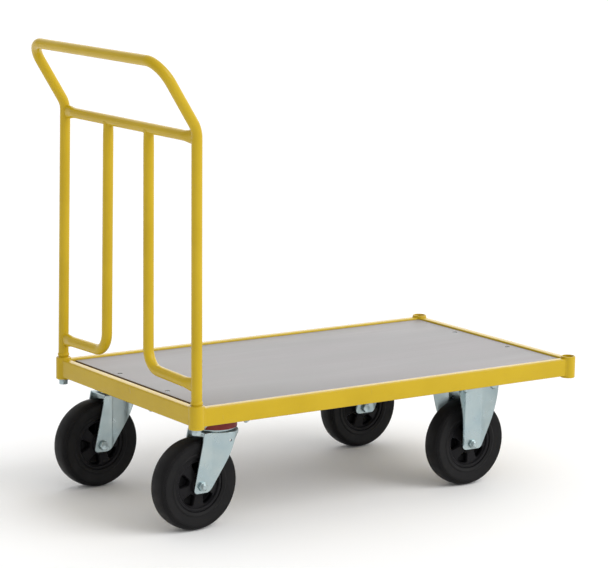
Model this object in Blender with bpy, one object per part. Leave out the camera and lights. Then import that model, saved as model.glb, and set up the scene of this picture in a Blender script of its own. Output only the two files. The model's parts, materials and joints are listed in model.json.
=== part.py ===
"""Platform trolley: steel frame, plywood deck, tubular push handle and four 200 mm castors.

Metres, +Z up, floor at Z = 0.  The handle is at the -X end and the open front end at +X.
"left" is +Y, the left hand of a person who pushes at the handle.  The origin is on the floor,
under the middle of the whole trolley.
"""
import math

import bmesh
import bpy
from mathutils import Matrix, Vector

GAP = 0.0003  # clearance between touching pieces

# Frame of rectangular tube, measured over the outer faces
FRAME_LENGTH = 1.032
FRAME_WIDTH = 0.590
RAIL_HEIGHT = 0.040
RAIL_WIDTH = 0.020
RAIL_WALL = 0.002
RAIL_BOTTOM = 0.243
CROSS_WIDTH = 0.030
CROSS_HEIGHT = 0.020
RIVET_Y = 0.102
RIVET_RADIUS = 0.0024
RIVET_HEAD_RADIUS = 0.0062
RIVET_HEAD_HEIGHT = 0.0037

# Round sockets at the four corners
SOCKET_RADIUS = 0.01685
SOCKET_BORE = 0.0136
SOCKET_HEIGHT = 0.050
SOCKET_EDGE = 0.0008

# Deck board
BOARD_THICKNESS = 0.016
BOARD_SIDE_GAP = 0.001
BOARD_REAR_GAP = 0.015
BOARD_NOTCH = 0.0185
SCREW_Y = 0.101
SCREW_REAR_INSET = 0.051
SCREW_FRONT_INSET = 0.041
SCREW_HEAD_RADIUS = 0.0054
SCREW_HEAD_HEIGHT = 0.0026
SCREW_RADIUS = 0.0024
SCREW_LENGTH = 0.0245

# Push handle, centreline sizes
TUBE_RADIUS = 0.0116
TUBE_WALL = 0.002
LEAN_START = 0.300
BEND_HEIGHT = 0.866
BEND_HALF_WIDTH = 0.2765
TOP_HALF_WIDTH = 0.2746
GRIP_TILT = math.radians(32.5)
GRIP_SLOPE = 0.1663
BEND_RADIUS = 0.055
CORNER_RADIUS = 0.052
CROSSBAR_HEIGHT = 0.8490
FLAT_HALF_HEIGHT = 0.0150
FLAT_HALF_DEPTH = 0.0082
FLAT_RUN = 0.014  # fully flat, from the leg's axis
FLAT_LENGTH = 0.048  # from the leg's axis to where the tube is round again
BRACE_TOP_Y = 0.085
BRACE_LOW_Y = 0.089
BRACE_ARM_HEIGHT = 0.334
BRACE_FOOT_HEIGHT = 0.3295
BRACE_BEND = 0.045
PLUG_RADIUS = 0.0132
PLUG_WALL = 0.0035
BEAD_RADIUS = 0.0131
WASHER_RADIUS = 0.0120
WASHER_BORE = 0.0065
WASHER_THICKNESS = 0.0025
FOOT_HEX = 0.0095
FOOT_HEAD_HEIGHT = 0.0095
INSERT_RISE = 0.003
INSERT_LENGTH = 0.024

# Castors: wheel
WHEEL_RADIUS = 0.100
TYRE_HALF_WIDTH = 0.0245
TREAD_HALF_WIDTH = 0.0050
WHEEL_SEGMENTS = 32
HUB_RADIUS = 0.059
HUB_HALF_LENGTH = 0.0275
HUB_RIM_HALF = 0.0190
HUB_WEB_HALF = 0.0150
BOSS_RADIUS = 0.0200
POCKET_COUNT = 5
POCKET_INNER = 0.0230
POCKET_OUTER = 0.0495
POCKET_FLOOR = 0.0030
POCKET_INNER_HALF = math.radians(17)
POCKET_OUTER_HALF = math.radians(21.5)
POCKET_CORNER = 0.004
AXLE_RADIUS = 0.006
BUSH_RADIUS = 0.0095
AXLE_HEX = 0.0095
AXLE_HEAD_HEIGHT = 0.0075
AXLE_NUT_HEIGHT = 0.0080
AXLE_THREAD_END = 0.0120
CHAMFER = 0.0010
BORE_CLEARANCE = 0.0004

# Castors: places, top plates and their fixings
CASTOR_INSET = 0.086
PIVOT_FROM_HANDLE_END = 0.1043
FIXED_FROM_HANDLE_END = 0.782
TRAIL = 0.054
STEER = {"right": math.radians(3.1), "left": math.radians(1.0)}
SPOKE_TURN = {"swivel_right": 52, "swivel_left": 35, "fixed_right": 38, "fixed_left": 64.5}
PLATE_LONG = 0.140
PLATE_SHORT = 0.120
PLATE_THICKNESS = 0.004
PLATE_BOLT_LONG = 0.0525
PLATE_BOLT_SHORT = 0.040
PLATE_BOLT_RADIUS = 0.004
PLATE_BOLT_END = 0.0030
PLATE_NUT_HEX = 0.0065
PLATE_NUT_HEIGHT = 0.0065
PLATE_WASHER_RADIUS = 0.0080
PLATE_WASHER_THICKNESS = 0.0016
PLATE_CORNER = 0.008

# Castors: forks of pressed sheet; a leg has a flat band and flanges that flare outwards
SHEET = 0.003
FORK_HALF_WIDTH = 0.032
FLANGE_SLOPE = math.tan(math.radians(27))
CREASE_X = -0.030
LEG_FOOT = 0.0845
LEG_CORNER = 0.010
LEG_REAR = (-0.0761, -0.0490)  # rear edge at the foot and under the crown
LEG_FRONT = (-0.0332, 0.0272)  # front edge, likewise
LEG_HOLE = (0.0070, 0.1955)
LEG_HOLE_RADIUS = 0.0028
FIXED_BAND = 0.0235
FIXED_FOOT_HEIGHT = 0.0875
FIXED_FOOT = 0.0258
FIXED_CORNER = 0.009
FIXED_EDGE_SLOPE = 0.213
FIXED_FLARE = 0.021  # how far the flanges' edges stand out where they are widest
FIXED_FLARE_START = 0.092
FIXED_FLARE_PEAK = 0.202
CROWN_RADIUS = 0.050
CROWN_TOP = 0.214
CROWN_SKIRT = 0.009
CROWN_REAR = -0.0515
CROWN_FRONT = 0.0365
RACE_RADIUS = 0.0420
RACE_HEIGHT = 0.0115
RACE_WALL = 0.004
RACE_GAP = 0.0005
SEAL_RADIUS = 0.0475
SEAL_RISE = 0.0055
KINGPIN_RADIUS = 0.008
KINGPIN_HEX = 0.0120
KINGPIN_HEAD_HEIGHT = 0.0110
KINGPIN_CLEARANCE = 0.0005

# Worked out from the sizes above
RAIL_MID = RAIL_BOTTOM + RAIL_HEIGHT / 2
SOCKET_BOTTOM = RAIL_MID - SOCKET_HEIGHT / 2
SOCKET_TOP = RAIL_MID + SOCKET_HEIGHT / 2
AXIS_X = (FRAME_LENGTH - RAIL_WIDTH) / 2
AXIS_Y = (FRAME_WIDTH - RAIL_WIDTH) / 2
TOP_SETBACK = GRIP_SLOPE * math.sin(GRIP_TILT)
HANDLE_TOP = BEND_HEIGHT + GRIP_SLOPE * math.cos(GRIP_TILT)
REAR_REACH = AXIS_X + TOP_SETBACK + TUBE_RADIUS
FRONT_REACH = AXIS_X + SOCKET_RADIUS
FRAME_X = (REAR_REACH - FRONT_REACH) / 2
REAR_X = FRAME_X - AXIS_X
FRONT_X = FRAME_X + AXIS_X
HANDLE_END = FRAME_X - FRAME_LENGTH / 2
CASTOR_Y = FRAME_WIDTH / 2 - CASTOR_INSET
PIVOT_X = HANDLE_END + PIVOT_FROM_HANDLE_END
FIXED_X = HANDLE_END + FIXED_FROM_HANDLE_END
PLATE_TOP = RAIL_BOTTOM - GAP
PLATE_BOTTOM = PLATE_TOP - PLATE_THICKNESS
BOARD_BOTTOM = RAIL_BOTTOM + CROSS_HEIGHT + GAP
BOARD_TOP = BOARD_BOTTOM + BOARD_THICKNESS
SCREW_REAR_X = HANDLE_END + SCREW_REAR_INSET
SCREW_FRONT_X = HANDLE_END + FRAME_LENGTH - SCREW_FRONT_INSET
SIDES = {"right": -1, "left": 1}

SMOOTH_ANGLE = math.radians(35)
AXIS_TO_Y = Matrix.Rotation(math.radians(-90), 4, "X")


def clear_scene():
    for item in list(bpy.data.objects):
        bpy.data.objects.remove(item, do_unlink=True)


def make_material(name, colour, roughness, metallic):
    mat = bpy.data.materials.new(name)
    mat.use_nodes = True
    shader = mat.node_tree.nodes["Principled BSDF"]
    shader.inputs["Base Color"].default_value = (*colour, 1.0)
    shader.inputs["Roughness"].default_value = roughness
    shader.inputs["Metallic"].default_value = metallic
    return mat


def make_object(name, mesh_bm, mat, parent=None, location=(0, 0, 0)):
    bmesh.ops.recalc_face_normals(mesh_bm, faces=mesh_bm.faces)
    mesh = bpy.data.meshes.new(name)
    mesh_bm.to_mesh(mesh)
    mesh_bm.free()
    mesh.shade_smooth()
    mesh.set_sharp_from_angle(angle=SMOOTH_ANGLE)
    obj = bpy.data.objects.new(name, mesh)
    bpy.context.collection.objects.link(obj)
    if mat:
        obj.data.materials.append(mat)
    obj.parent = parent
    obj.location = location
    return obj


def make_empty(name, location, turn=0.0, parent=None):
    empty = bpy.data.objects.new(name, None)
    bpy.context.collection.objects.link(empty)
    empty.empty_display_size = 0.05
    empty.parent = parent
    empty.location = location
    empty.rotation_euler = (0, 0, turn)
    return empty


def combine(obj, tool, operation):
    """Boolean modifier with a hidden tool body; the result stays live."""
    tool.hide_render = True
    tool.display_type = "WIRE"
    mod = obj.modifiers.new(operation.lower() + "_" + tool.name, "BOOLEAN")
    mod.operation = operation
    mod.solver = "EXACT"
    mod.object = tool


def add_ring(mesh_bm, points):
    return [mesh_bm.verts.new(point) for point in points]


def skin(mesh_bm, ring_a, ring_b):
    """Quads between two rings of the same count, or triangles to a single pole."""
    count = max(len(ring_a), len(ring_b))
    for i in range(count):
        j = (i + 1) % count
        corners = [ring_a[i % len(ring_a)], ring_a[j % len(ring_a)]]
        corners += [ring_b[j % len(ring_b)], ring_b[i % len(ring_b)]]
        unique = list(dict.fromkeys(corners))
        mesh_bm.faces.new(unique)


def hexagon_radius(half_flat, angle):
    sector = math.radians(60)
    return half_flat / math.cos((angle % sector) - sector / 2)


def turned(profile, segments, phase=0.0, along_y=False):
    """Solid of revolution about local Z or Y.

    Profile points are (radius, height), with a third value "hex" where the radius is half
    the width across flats.  A profile that starts and ends at radius 0 is capped by its poles;
    any other profile is a closed loop around the axis.
    """
    mesh_bm = bmesh.new()
    rings = []
    for point in profile:
        radius, height = point[0], point[1]
        if radius == 0:
            rings.append(add_ring(mesh_bm, [(0, 0, height)]))
            continue
        ring = []
        for k in range(segments):
            angle = 2 * math.pi * k / segments + phase
            reach = hexagon_radius(radius, angle) if len(point) > 2 else radius
            ring.append((reach * math.cos(angle), reach * math.sin(angle), height))
        rings.append(add_ring(mesh_bm, ring))
    for ring_a, ring_b in zip(rings, rings[1:]):
        skin(mesh_bm, ring_a, ring_b)
    if profile[0][0] > 0:
        skin(mesh_bm, rings[-1], rings[0])
    if along_y:
        mesh_bm.transform(AXIS_TO_Y)
    return mesh_bm


def rounded_outline(width, height, radius, steps):
    """Counter-clockwise rounded rectangle about the origin."""
    points = []
    for quarter in range(4):
        sx = 1 if quarter in (0, 3) else -1
        sy = 1 if quarter in (0, 1) else -1
        centre = Vector((sx * (width / 2 - radius), sy * (height / 2 - radius)))
        for step in range(steps + 1):
            angle = math.radians(90) * (quarter + step / steps)
            points.append(centre + radius * Vector((math.cos(angle), math.sin(angle))))
    return points


def extruded(outline, z_low, z_high):
    mesh_bm = bmesh.new()
    low = add_ring(mesh_bm, [(p[0], p[1], z_low) for p in outline])
    high = add_ring(mesh_bm, [(p[0], p[1], z_high) for p in outline])
    skin(mesh_bm, low, high)
    mesh_bm.faces.new(low)
    mesh_bm.faces.new(high)
    return mesh_bm


def box_tube(length, width, height, wall, radius):
    """Open-ended rectangular tube along local X, centred on the origin."""
    outer = rounded_outline(width, height, radius, 2)
    inner = rounded_outline(width - 2 * wall, height - 2 * wall, radius - wall / 2, 2)
    mesh_bm = bmesh.new()
    rings = []
    for x, outline in ((-1, outer), (1, outer), (1, inner), (-1, inner)):
        rings.append(add_ring(mesh_bm, [(x * length / 2, p[0], p[1]) for p in outline]))
    for index in range(4):
        skin(mesh_bm, rings[index], rings[(index + 1) % 4])
    return mesh_bm


def rounded_path(corners, radii, steps):
    """Polyline through corners, with an arc of the given radius at each inner corner."""
    path = [corners[0]]
    for before, corner, after, radius in zip(corners, corners[1:], corners[2:], radii):
        if radius == 0:
            path.append(corner)
            continue
        back = (before - corner).normalized()
        ahead = (after - corner).normalized()
        half = back.angle(ahead) / 2
        centre = corner + (back + ahead).normalized() * (radius / math.sin(half))
        start = corner + back * (radius / math.tan(half)) - centre
        sweep = math.pi - 2 * half
        axis = start.cross(corner - centre).normalized()
        for step in range(steps + 1):
            path.append(centre + Matrix.Rotation(sweep * step / steps, 3, axis) @ start)
    path.append(corners[-1])
    return path


def swept(path, sizes, wall, segments, first_side):
    """Tube along a path.  sizes are (half along the side direction, half across it).

    wall is None for a solid rod, or the wall thickness at each path point.
    """
    mesh_bm = bmesh.new()
    outer = []
    inner = []
    side = first_side.normalized()
    for index, point in enumerate(path):
        ahead = path[min(index + 1, len(path) - 1)] - point
        behind = point - path[max(index - 1, 0)]
        tangent = (ahead.normalized() + behind.normalized()).normalized()
        side = (side - tangent * side.dot(tangent)).normalized()
        across = tangent.cross(side)
        for rings, inset in ((outer, 0.0), (inner, wall[index] if wall else None)):
            if inset is None:
                continue
            ring = []
            for k in range(segments):
                angle = 2 * math.pi * k / segments
                reach = side * ((sizes[index][0] - inset) * math.cos(angle))
                reach += across * ((sizes[index][1] - inset) * math.sin(angle))
                ring.append(point + reach)
            rings.append(add_ring(mesh_bm, ring))
    for rings in (outer, inner):
        for ring_a, ring_b in zip(rings, rings[1:]):
            skin(mesh_bm, ring_a, ring_b)
    if wall:
        skin(mesh_bm, outer[0], inner[0])
        skin(mesh_bm, outer[-1], inner[-1])
    else:
        mesh_bm.faces.new(outer[0])
        mesh_bm.faces.new(outer[-1])
    return mesh_bm


def sheet(rows, thickness):
    """Plate with the given outer surface; rows of (x, y, z), thickened towards Y = 0."""
    mesh_bm = bmesh.new()
    layers = []
    for depth in (0.0, thickness):
        grid = []
        for row in rows:
            inward = [(x, y - math.copysign(depth, y), z) for x, y, z in row]
            grid.append(add_ring(mesh_bm, inward))
        layers.append(grid)
    last = len(rows[0]) - 1
    for grid in layers:
        for low, high in zip(grid, grid[1:]):
            for k in range(last):
                mesh_bm.faces.new((low[k], low[k + 1], high[k + 1], high[k]))
    front, back = layers
    for k in range(last):
        mesh_bm.faces.new((front[0][k], front[0][k + 1], back[0][k + 1], back[0][k]))
        mesh_bm.faces.new((front[-1][k], front[-1][k + 1], back[-1][k + 1], back[-1][k]))
    for i in range(len(rows) - 1):
        for k in (0, last):
            edge = (front[i][k], front[i + 1][k], back[i + 1][k], back[i][k])
            mesh_bm.faces.new(edge)
    bmesh.ops.triangulate(mesh_bm, faces=mesh_bm.faces)
    return mesh_bm


def make_materials():
    return {
        "paint": make_material("yellow_powder_coat", (0.66, 0.44, 0.03), 0.38, 0.0),
        "board": make_material("grey_deck_board", (0.50, 0.48, 0.49), 0.62, 0.0),
        "zinc": make_material("zinc_plated_steel", (0.60, 0.66, 0.64), 0.36, 0.9),
        "tyre": make_material("black_tyre_rubber", (0.022, 0.021, 0.022), 0.72, 0.0),
        "hub": make_material("black_hub_plastic", (0.018, 0.018, 0.019), 0.48, 0.0),
        "seal": make_material("red_seal_plastic", (0.30, 0.02, 0.012), 0.50, 0.0),
    }


# ---------------------------------------------------------------- frame

def socket_positions():
    for end, x in (("handle", REAR_X), ("front", FRONT_X)):
        for side, sign in SIDES.items():
            yield end, side, Vector((x, sign * AXIS_Y, 0))


def make_sockets(mats):
    edge = SOCKET_EDGE
    profile = [(SOCKET_RADIUS, SOCKET_BOTTOM + edge), (SOCKET_RADIUS, SOCKET_TOP - edge),
               (SOCKET_RADIUS - edge, SOCKET_TOP), (SOCKET_BORE, SOCKET_TOP),
               (SOCKET_BORE, SOCKET_BOTTOM), (SOCKET_RADIUS - edge, SOCKET_BOTTOM)]
    for end, side, position in socket_positions():
        make_object(f"corner_socket_{end}_{side}", turned(profile, 24), mats["paint"],
                    location=position)


def make_socket_tools():
    """Cylinders, a hair wider than the sockets, that cope the rail ends."""
    reach = SOCKET_RADIUS + GAP
    profile = [(0, SOCKET_BOTTOM), (reach, SOCKET_BOTTOM), (reach, SOCKET_TOP), (0, SOCKET_TOP)]
    tools = {}
    for end, side, position in socket_positions():
        name = f"cope_{end}_{side}"
        tools[end, side] = make_object(name, turned(profile, 24), None, location=position)
    return tools


def make_rails(mats, tools):
    size = (RAIL_WIDTH, RAIL_HEIGHT, RAIL_WALL, 0.003)
    for side, sign in SIDES.items():
        rail = make_object(f"side_rail_{side}", box_tube(2 * AXIS_X, *size), mats["paint"],
                           location=(FRAME_X, sign * AXIS_Y, RAIL_MID))
        for end in ("handle", "front"):
            combine(rail, tools[end, side], "DIFFERENCE")
    for end, x in (("handle", REAR_X), ("front", FRONT_X)):
        mesh_bm = box_tube(2 * AXIS_Y, *size)
        mesh_bm.transform(Matrix.Rotation(math.radians(90), 4, "Z"))
        rail = make_object(f"end_rail_{end}", mesh_bm, mats["paint"], location=(x, 0, RAIL_MID))
        for side in SIDES:
            combine(rail, tools[end, side], "DIFFERENCE")
            if end == "handle":
                make_rivet(rail, side, mats)


def make_rivet(rail, side, mats):
    """Domed rivet in the underside of the handle-end rail."""
    head_top = -GAP
    head_low = head_top - RIVET_HEAD_HEIGHT
    end = RAIL_WALL + 0.001
    rivet = [(0, head_low), (0.5 * RIVET_HEAD_RADIUS, head_low + 0.1 * RIVET_HEAD_HEIGHT),
             (0.9 * RIVET_HEAD_RADIUS, head_low + 0.5 * RIVET_HEAD_HEIGHT),
             (RIVET_HEAD_RADIUS, head_top), (RIVET_RADIUS, head_top), (RIVET_RADIUS, end), (0, end)]
    bore = RIVET_RADIUS + GAP
    hole = [(0, -RAIL_WALL), (bore, -RAIL_WALL), (bore, 2 * RAIL_WALL), (0, 2 * RAIL_WALL)]
    spot = (REAR_X, SIDES[side] * RIVET_Y, RAIL_BOTTOM)
    make_object(f"end_rail_rivet_{side}", turned(rivet, 16), mats["zinc"], location=spot)
    tool = make_object(f"rivet_hole_{side}", turned(hole, 16), None, location=spot)
    combine(rail, tool, "DIFFERENCE")


def make_cross_tubes(mats, screw_tools):
    """Two tubes over each castor pair and one at the front end; they carry the deck board."""
    length = FRAME_WIDTH - 2 * RAIL_WIDTH - 2 * GAP
    places = [SCREW_REAR_X, 2 * PIVOT_X - SCREW_REAR_X]
    places += [FIXED_X - PLATE_BOLT_SHORT, FIXED_X + PLATE_BOLT_SHORT, SCREW_FRONT_X]
    for number, x in enumerate(places, 1):
        mesh_bm = box_tube(length, CROSS_WIDTH, CROSS_HEIGHT, RAIL_WALL, 0.0025)
        mesh_bm.transform(Matrix.Rotation(math.radians(90), 4, "Z"))
        tube = make_object(f"cross_tube_{number}", mesh_bm, mats["paint"],
                           location=(x, 0, RAIL_BOTTOM + CROSS_HEIGHT / 2))
        if x in (SCREW_REAR_X, SCREW_FRONT_X):
            for tool in screw_tools[x]:
                combine(tube, tool, "DIFFERENCE")


# ---------------------------------------------------------------- deck

def screw_places():
    for x in (SCREW_REAR_X, SCREW_FRONT_X):
        for sign in SIDES.values():
            yield x, sign * SCREW_Y


def make_screws(mats):
    """Low round-headed screws, sunk so that their tops are just below the board's top."""
    profile = [(0, SCREW_HEAD_HEIGHT), (0.5 * SCREW_HEAD_RADIUS, SCREW_HEAD_HEIGHT),
               (0.87 * SCREW_HEAD_RADIUS, 0.6 * SCREW_HEAD_HEIGHT), (SCREW_HEAD_RADIUS, 0),
               (SCREW_RADIUS, 0), (SCREW_RADIUS, CHAMFER - SCREW_LENGTH), (0, -SCREW_LENGTH)]
    for number, (x, y) in enumerate(screw_places(), 1):
        make_object(f"deck_screw_{number}", turned(profile, 12), mats["zinc"],
                    location=(x, y, BOARD_TOP - GAP - SCREW_HEAD_HEIGHT))


def make_screw_tools():
    """Clearance holes through the board and the tube wall under it, wider round the heads."""
    bore = SCREW_RADIUS + BORE_CLEARANCE
    seat_bore = SCREW_HEAD_RADIUS + BORE_CLEARANCE
    seat = -SCREW_HEAD_HEIGHT - 2 * GAP
    low = -SCREW_LENGTH - RAIL_WALL
    profile = [(0, RAIL_WALL), (seat_bore, RAIL_WALL), (seat_bore, seat), (bore, seat),
               (bore, low), (0, low)]
    tools = {}
    for number, (x, y) in enumerate(screw_places(), 1):
        tool = make_object(f"screw_hole_{number}", turned(profile, 12), None,
                           location=(x, y, BOARD_TOP))
        tools.setdefault(x, []).append(tool)
    return tools


def board_outline():
    """Rectangle inside the rails, with round notches for the two front sockets."""
    rear = HANDLE_END + RAIL_WIDTH + BOARD_REAR_GAP
    front = HANDLE_END + FRAME_LENGTH - RAIL_WIDTH - BOARD_SIDE_GAP
    half = FRAME_WIDTH / 2 - RAIL_WIDTH - BOARD_SIDE_GAP
    angle_x = math.acos((FRONT_X - front) / BOARD_NOTCH)
    angle_y = math.asin((AXIS_Y - half) / BOARD_NOTCH)
    steps = 4
    notch = []
    for step in range(steps + 1):
        angle = angle_y + (angle_x - angle_y) * step / steps
        x = FRONT_X - BOARD_NOTCH * math.cos(angle)
        notch.append((x, AXIS_Y - BOARD_NOTCH * math.sin(angle)))
    lower = [(x, -y) for x, y in notch]
    return [(rear, -half)] + lower + notch[::-1] + [(rear, half)]


def make_board(mats, tools):
    board = make_object("deck_board", extruded(board_outline(), BOARD_BOTTOM, BOARD_TOP),
                        mats["board"])
    for pair in tools.values():
        for tool in pair:
            combine(board, tool, "DIFFERENCE")


# ---------------------------------------------------------------- push handle

def handle_corners(low):
    """Corner points of the handle centreline, up the right leg and down the left one."""
    top_x = REAR_X - TOP_SETBACK
    right = [Vector((REAR_X, -AXIS_Y, low)), Vector((REAR_X, -AXIS_Y, LEAN_START)),
             Vector((REAR_X, -BEND_HALF_WIDTH, BEND_HEIGHT)),
             Vector((top_x, -TOP_HALF_WIDTH, HANDLE_TOP))]
    left = [Vector((p.x, -p.y, p.z)) for p in reversed(right)]
    return right + left


HANDLE_RADII = [0, BEND_RADIUS, CORNER_RADIUS, CORNER_RADIUS, BEND_RADIUS, 0]

# Leg foot, from the bottom up: plug in the socket, seam, bead and plain tube (height, radius)
FOOT = [(SOCKET_BOTTOM + INSERT_RISE, PLUG_RADIUS), (SOCKET_TOP - 0.0010, PLUG_RADIUS),
        (SOCKET_TOP + 0.0008, TUBE_RADIUS), (SOCKET_TOP + 0.0026, TUBE_RADIUS),
        (SOCKET_TOP + 0.0034, BEAD_RADIUS), (SOCKET_TOP + 0.0080, BEAD_RADIUS),
        (SOCKET_TOP + 0.0098, TUBE_RADIUS)]


def make_handle_loop(mats):
    body = rounded_path(handle_corners(LEAN_START - 0.001), HANDLE_RADII, 5)[1:-1]
    foot_right = [Vector((REAR_X, -AXIS_Y, z)) for z, _ in FOOT]
    foot_left = [Vector((p.x, -p.y, p.z)) for p in reversed(foot_right)]
    path = foot_right + body + foot_left
    foot_sizes = [radius for _, radius in FOOT]
    sizes = foot_sizes + [TUBE_RADIUS] * len(body) + foot_sizes[::-1]
    foot_walls = [PLUG_WALL] * 2 + [TUBE_WALL] * (len(FOOT) - 2)
    walls = foot_walls + [TUBE_WALL] * len(body) + foot_walls[::-1]
    mesh_bm = swept(path, [(s, s) for s in sizes], walls, 12, Vector((1, 0, 0)))
    make_object("handle_loop", mesh_bm, mats["paint"])


def make_handle_tools():
    """Bodies a hair wider than the loop and the crossbar, to cope what is welded to them."""
    reach = TUBE_RADIUS + GAP
    path = rounded_path(handle_corners(LEAN_START - 0.02), HANDLE_RADII, 5)
    loop = make_object("cope_loop", swept(path, [(reach, reach)] * len(path), None, 12,
                                          Vector((1, 0, 0))), None)
    ends = [Vector((REAR_X, y, CROSSBAR_HEIGHT)) for y in (-0.2, 0.2)]
    bar = make_object("cope_crossbar", swept(ends, [(reach, reach)] * 2, None, 12,
                                             Vector((1, 0, 0))), None)
    return loop, bar


def make_crossbar(mats, loop_tool):
    """Tube between the legs at the bend, pressed flat and upright at both ends."""
    stations = [(BEND_HALF_WIDTH, FLAT_HALF_DEPTH, FLAT_HALF_HEIGHT),
                (BEND_HALF_WIDTH - FLAT_RUN, FLAT_HALF_DEPTH, FLAT_HALF_HEIGHT),
                (BEND_HALF_WIDTH - FLAT_LENGTH, TUBE_RADIUS, TUBE_RADIUS)]
    stations += [(-y, depth, height) for y, depth, height in reversed(stations)]
    path = [Vector((REAR_X, y, CROSSBAR_HEIGHT)) for y, _, _ in stations]
    sizes = [(depth, height) for _, depth, height in stations]
    mesh_bm = swept(path, sizes, [TUBE_WALL] * len(path), 12, Vector((1, 0, 0)))
    bar = make_object("handle_crossbar", mesh_bm, mats["paint"])
    combine(bar, loop_tool, "DIFFERENCE")


def make_braces(mats, loop_tool, bar_tool):
    """J-shaped tubes from the crossbar down and outwards to the legs, flat at the foot."""
    for side, sign in SIDES.items():
        top = Vector((REAR_X, sign * BRACE_TOP_Y, CROSSBAR_HEIGHT))
        elbow = Vector((REAR_X, sign * BRACE_LOW_Y, BRACE_ARM_HEIGHT))
        foot = Vector((REAR_X, sign * AXIS_Y, BRACE_FOOT_HEIGHT))
        path = rounded_path([top, elbow, foot], [BRACE_BEND], 5)
        arm = (foot - elbow).normalized()
        path[-1:] = [foot - arm * FLAT_LENGTH, foot - arm * FLAT_RUN, foot]
        sizes = [(TUBE_RADIUS, TUBE_RADIUS)] * (len(path) - 2)
        sizes += [(FLAT_HALF_DEPTH, FLAT_HALF_HEIGHT)] * 2
        mesh_bm = swept(path, sizes, [TUBE_WALL] * len(path), 12, Vector((1, 0, 0)))
        brace = make_object(f"handle_brace_{side}", mesh_bm, mats["paint"])
        combine(brace, loop_tool, "DIFFERENCE")
        combine(brace, bar_tool, "DIFFERENCE")


def make_handle_fixings(mats):
    """Threaded insert in each leg foot, and the washer and hexagon bolt under the socket."""
    washer_top = SOCKET_BOTTOM - GAP
    washer_low = washer_top - WASHER_THICKNESS
    head_top = washer_low - GAP
    head_bottom = head_top - FOOT_HEAD_HEIGHT
    insert_radius = PLUG_RADIUS - PLUG_WALL - GAP
    insert_low = SOCKET_BOTTOM + INSERT_RISE
    insert_high = insert_low + INSERT_LENGTH
    shank_end = insert_high - 2 * CHAMFER
    bore = AXLE_RADIUS + GAP
    washer = [(WASHER_BORE, washer_low), (WASHER_RADIUS, washer_low),
              (WASHER_RADIUS, washer_top), (WASHER_BORE, washer_top)]
    bolt = [(0, head_bottom), (FOOT_HEX - CHAMFER, head_bottom),
            (FOOT_HEX, head_bottom + CHAMFER, "hex"), (FOOT_HEX, head_top, "hex"),
            (AXLE_RADIUS, head_top), (AXLE_RADIUS, shank_end - CHAMFER), (0, shank_end)]
    insert = [(bore, insert_low), (insert_radius, insert_low), (insert_radius, insert_high),
              (bore, insert_high)]
    for side, sign in SIDES.items():
        spot = (REAR_X, sign * AXIS_Y, 0)
        make_object(f"handle_washer_{side}", turned(washer, 12), mats["zinc"], location=spot)
        make_object(f"handle_bolt_{side}", turned(bolt, 12), mats["zinc"], location=spot)
        make_object(f"handle_insert_{side}", turned(insert, 12), mats["zinc"], location=spot)


# ---------------------------------------------------------------- castors

def wheel_solid(profile):
    """Profile turned about the axle; the flats of its facets lie at the given radii."""
    step = math.radians(360) / WHEEL_SEGMENTS
    spread = 1 / math.cos(step / 2)
    grown = [(radius * spread, y) for radius, y in profile]
    return turned(grown, WHEEL_SEGMENTS, step / 2, True)


def mirrored(half):
    """Closed profile from its positive half, which runs from the inside radius outwards."""
    return [(radius, -y) for radius, y in half] + half[::-1]


def pocket_outline():
    """Rounded triangle between two spokes, about local X."""
    inner, outer = POCKET_INNER_HALF, POCKET_OUTER_HALF
    low = POCKET_OUTER - POCKET_CORNER
    cut = POCKET_CORNER / POCKET_OUTER
    points = []
    for radius, angle in ((POCKET_INNER, -inner), (low, -outer), (POCKET_OUTER, -outer + cut),
                          (POCKET_OUTER, 0.0), (POCKET_OUTER, outer - cut), (low, outer),
                          (POCKET_INNER, inner)):
        points.append((radius * math.cos(angle), radius * math.sin(angle)))
    return points


def make_pocket_tool(name, parent, turn):
    """Prisms on both faces of the hub, all in one tool."""
    tool = bmesh.new()
    for low, high in ((-HUB_HALF_LENGTH, -POCKET_FLOOR), (POCKET_FLOOR, HUB_HALF_LENGTH)):
        for number in range(POCKET_COUNT):
            prism = extruded(pocket_outline(), low, high)
            angle = math.radians(turn + 360 * number / POCKET_COUNT)
            prism.transform(AXIS_TO_Y @ Matrix.Rotation(angle, 4, "Z"))
            part = bpy.data.meshes.new(name)
            prism.to_mesh(part)
            prism.free()
            tool.from_mesh(part)
            bpy.data.meshes.remove(part)
    return make_object(name, tool, None, parent)


def make_wheel(prefix, side, parent, mats):
    """Solid rubber tyre on a moulded hub with a pocket between each two spokes."""
    tyre = [(HUB_RADIUS + GAP, 0.0210), (0.0870, TYRE_HALF_WIDTH), (0.0955, 0.0205),
            (0.0990, 0.0125), (WHEEL_RADIUS, TREAD_HALF_WIDTH)]
    make_object(f"{prefix}_tyre_{side}", wheel_solid(mirrored(tyre)), mats["tyre"], parent)
    hub = [(BUSH_RADIUS + BORE_CLEARANCE, HUB_HALF_LENGTH), (BOSS_RADIUS, HUB_HALF_LENGTH),
           (BOSS_RADIUS + 0.0015, HUB_RIM_HALF), (POCKET_OUTER + 0.0010, HUB_WEB_HALF),
           (POCKET_OUTER + 0.0035, HUB_RIM_HALF), (HUB_RADIUS, HUB_RIM_HALF)]
    wheel = make_object(f"{prefix}_hub_{side}", wheel_solid(mirrored(hub)), mats["hub"], parent)
    tool = make_pocket_tool(f"{prefix}_pockets_{side}", parent, SPOKE_TURN[f"{prefix}_{side}"])
    combine(wheel, tool, "DIFFERENCE")


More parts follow.
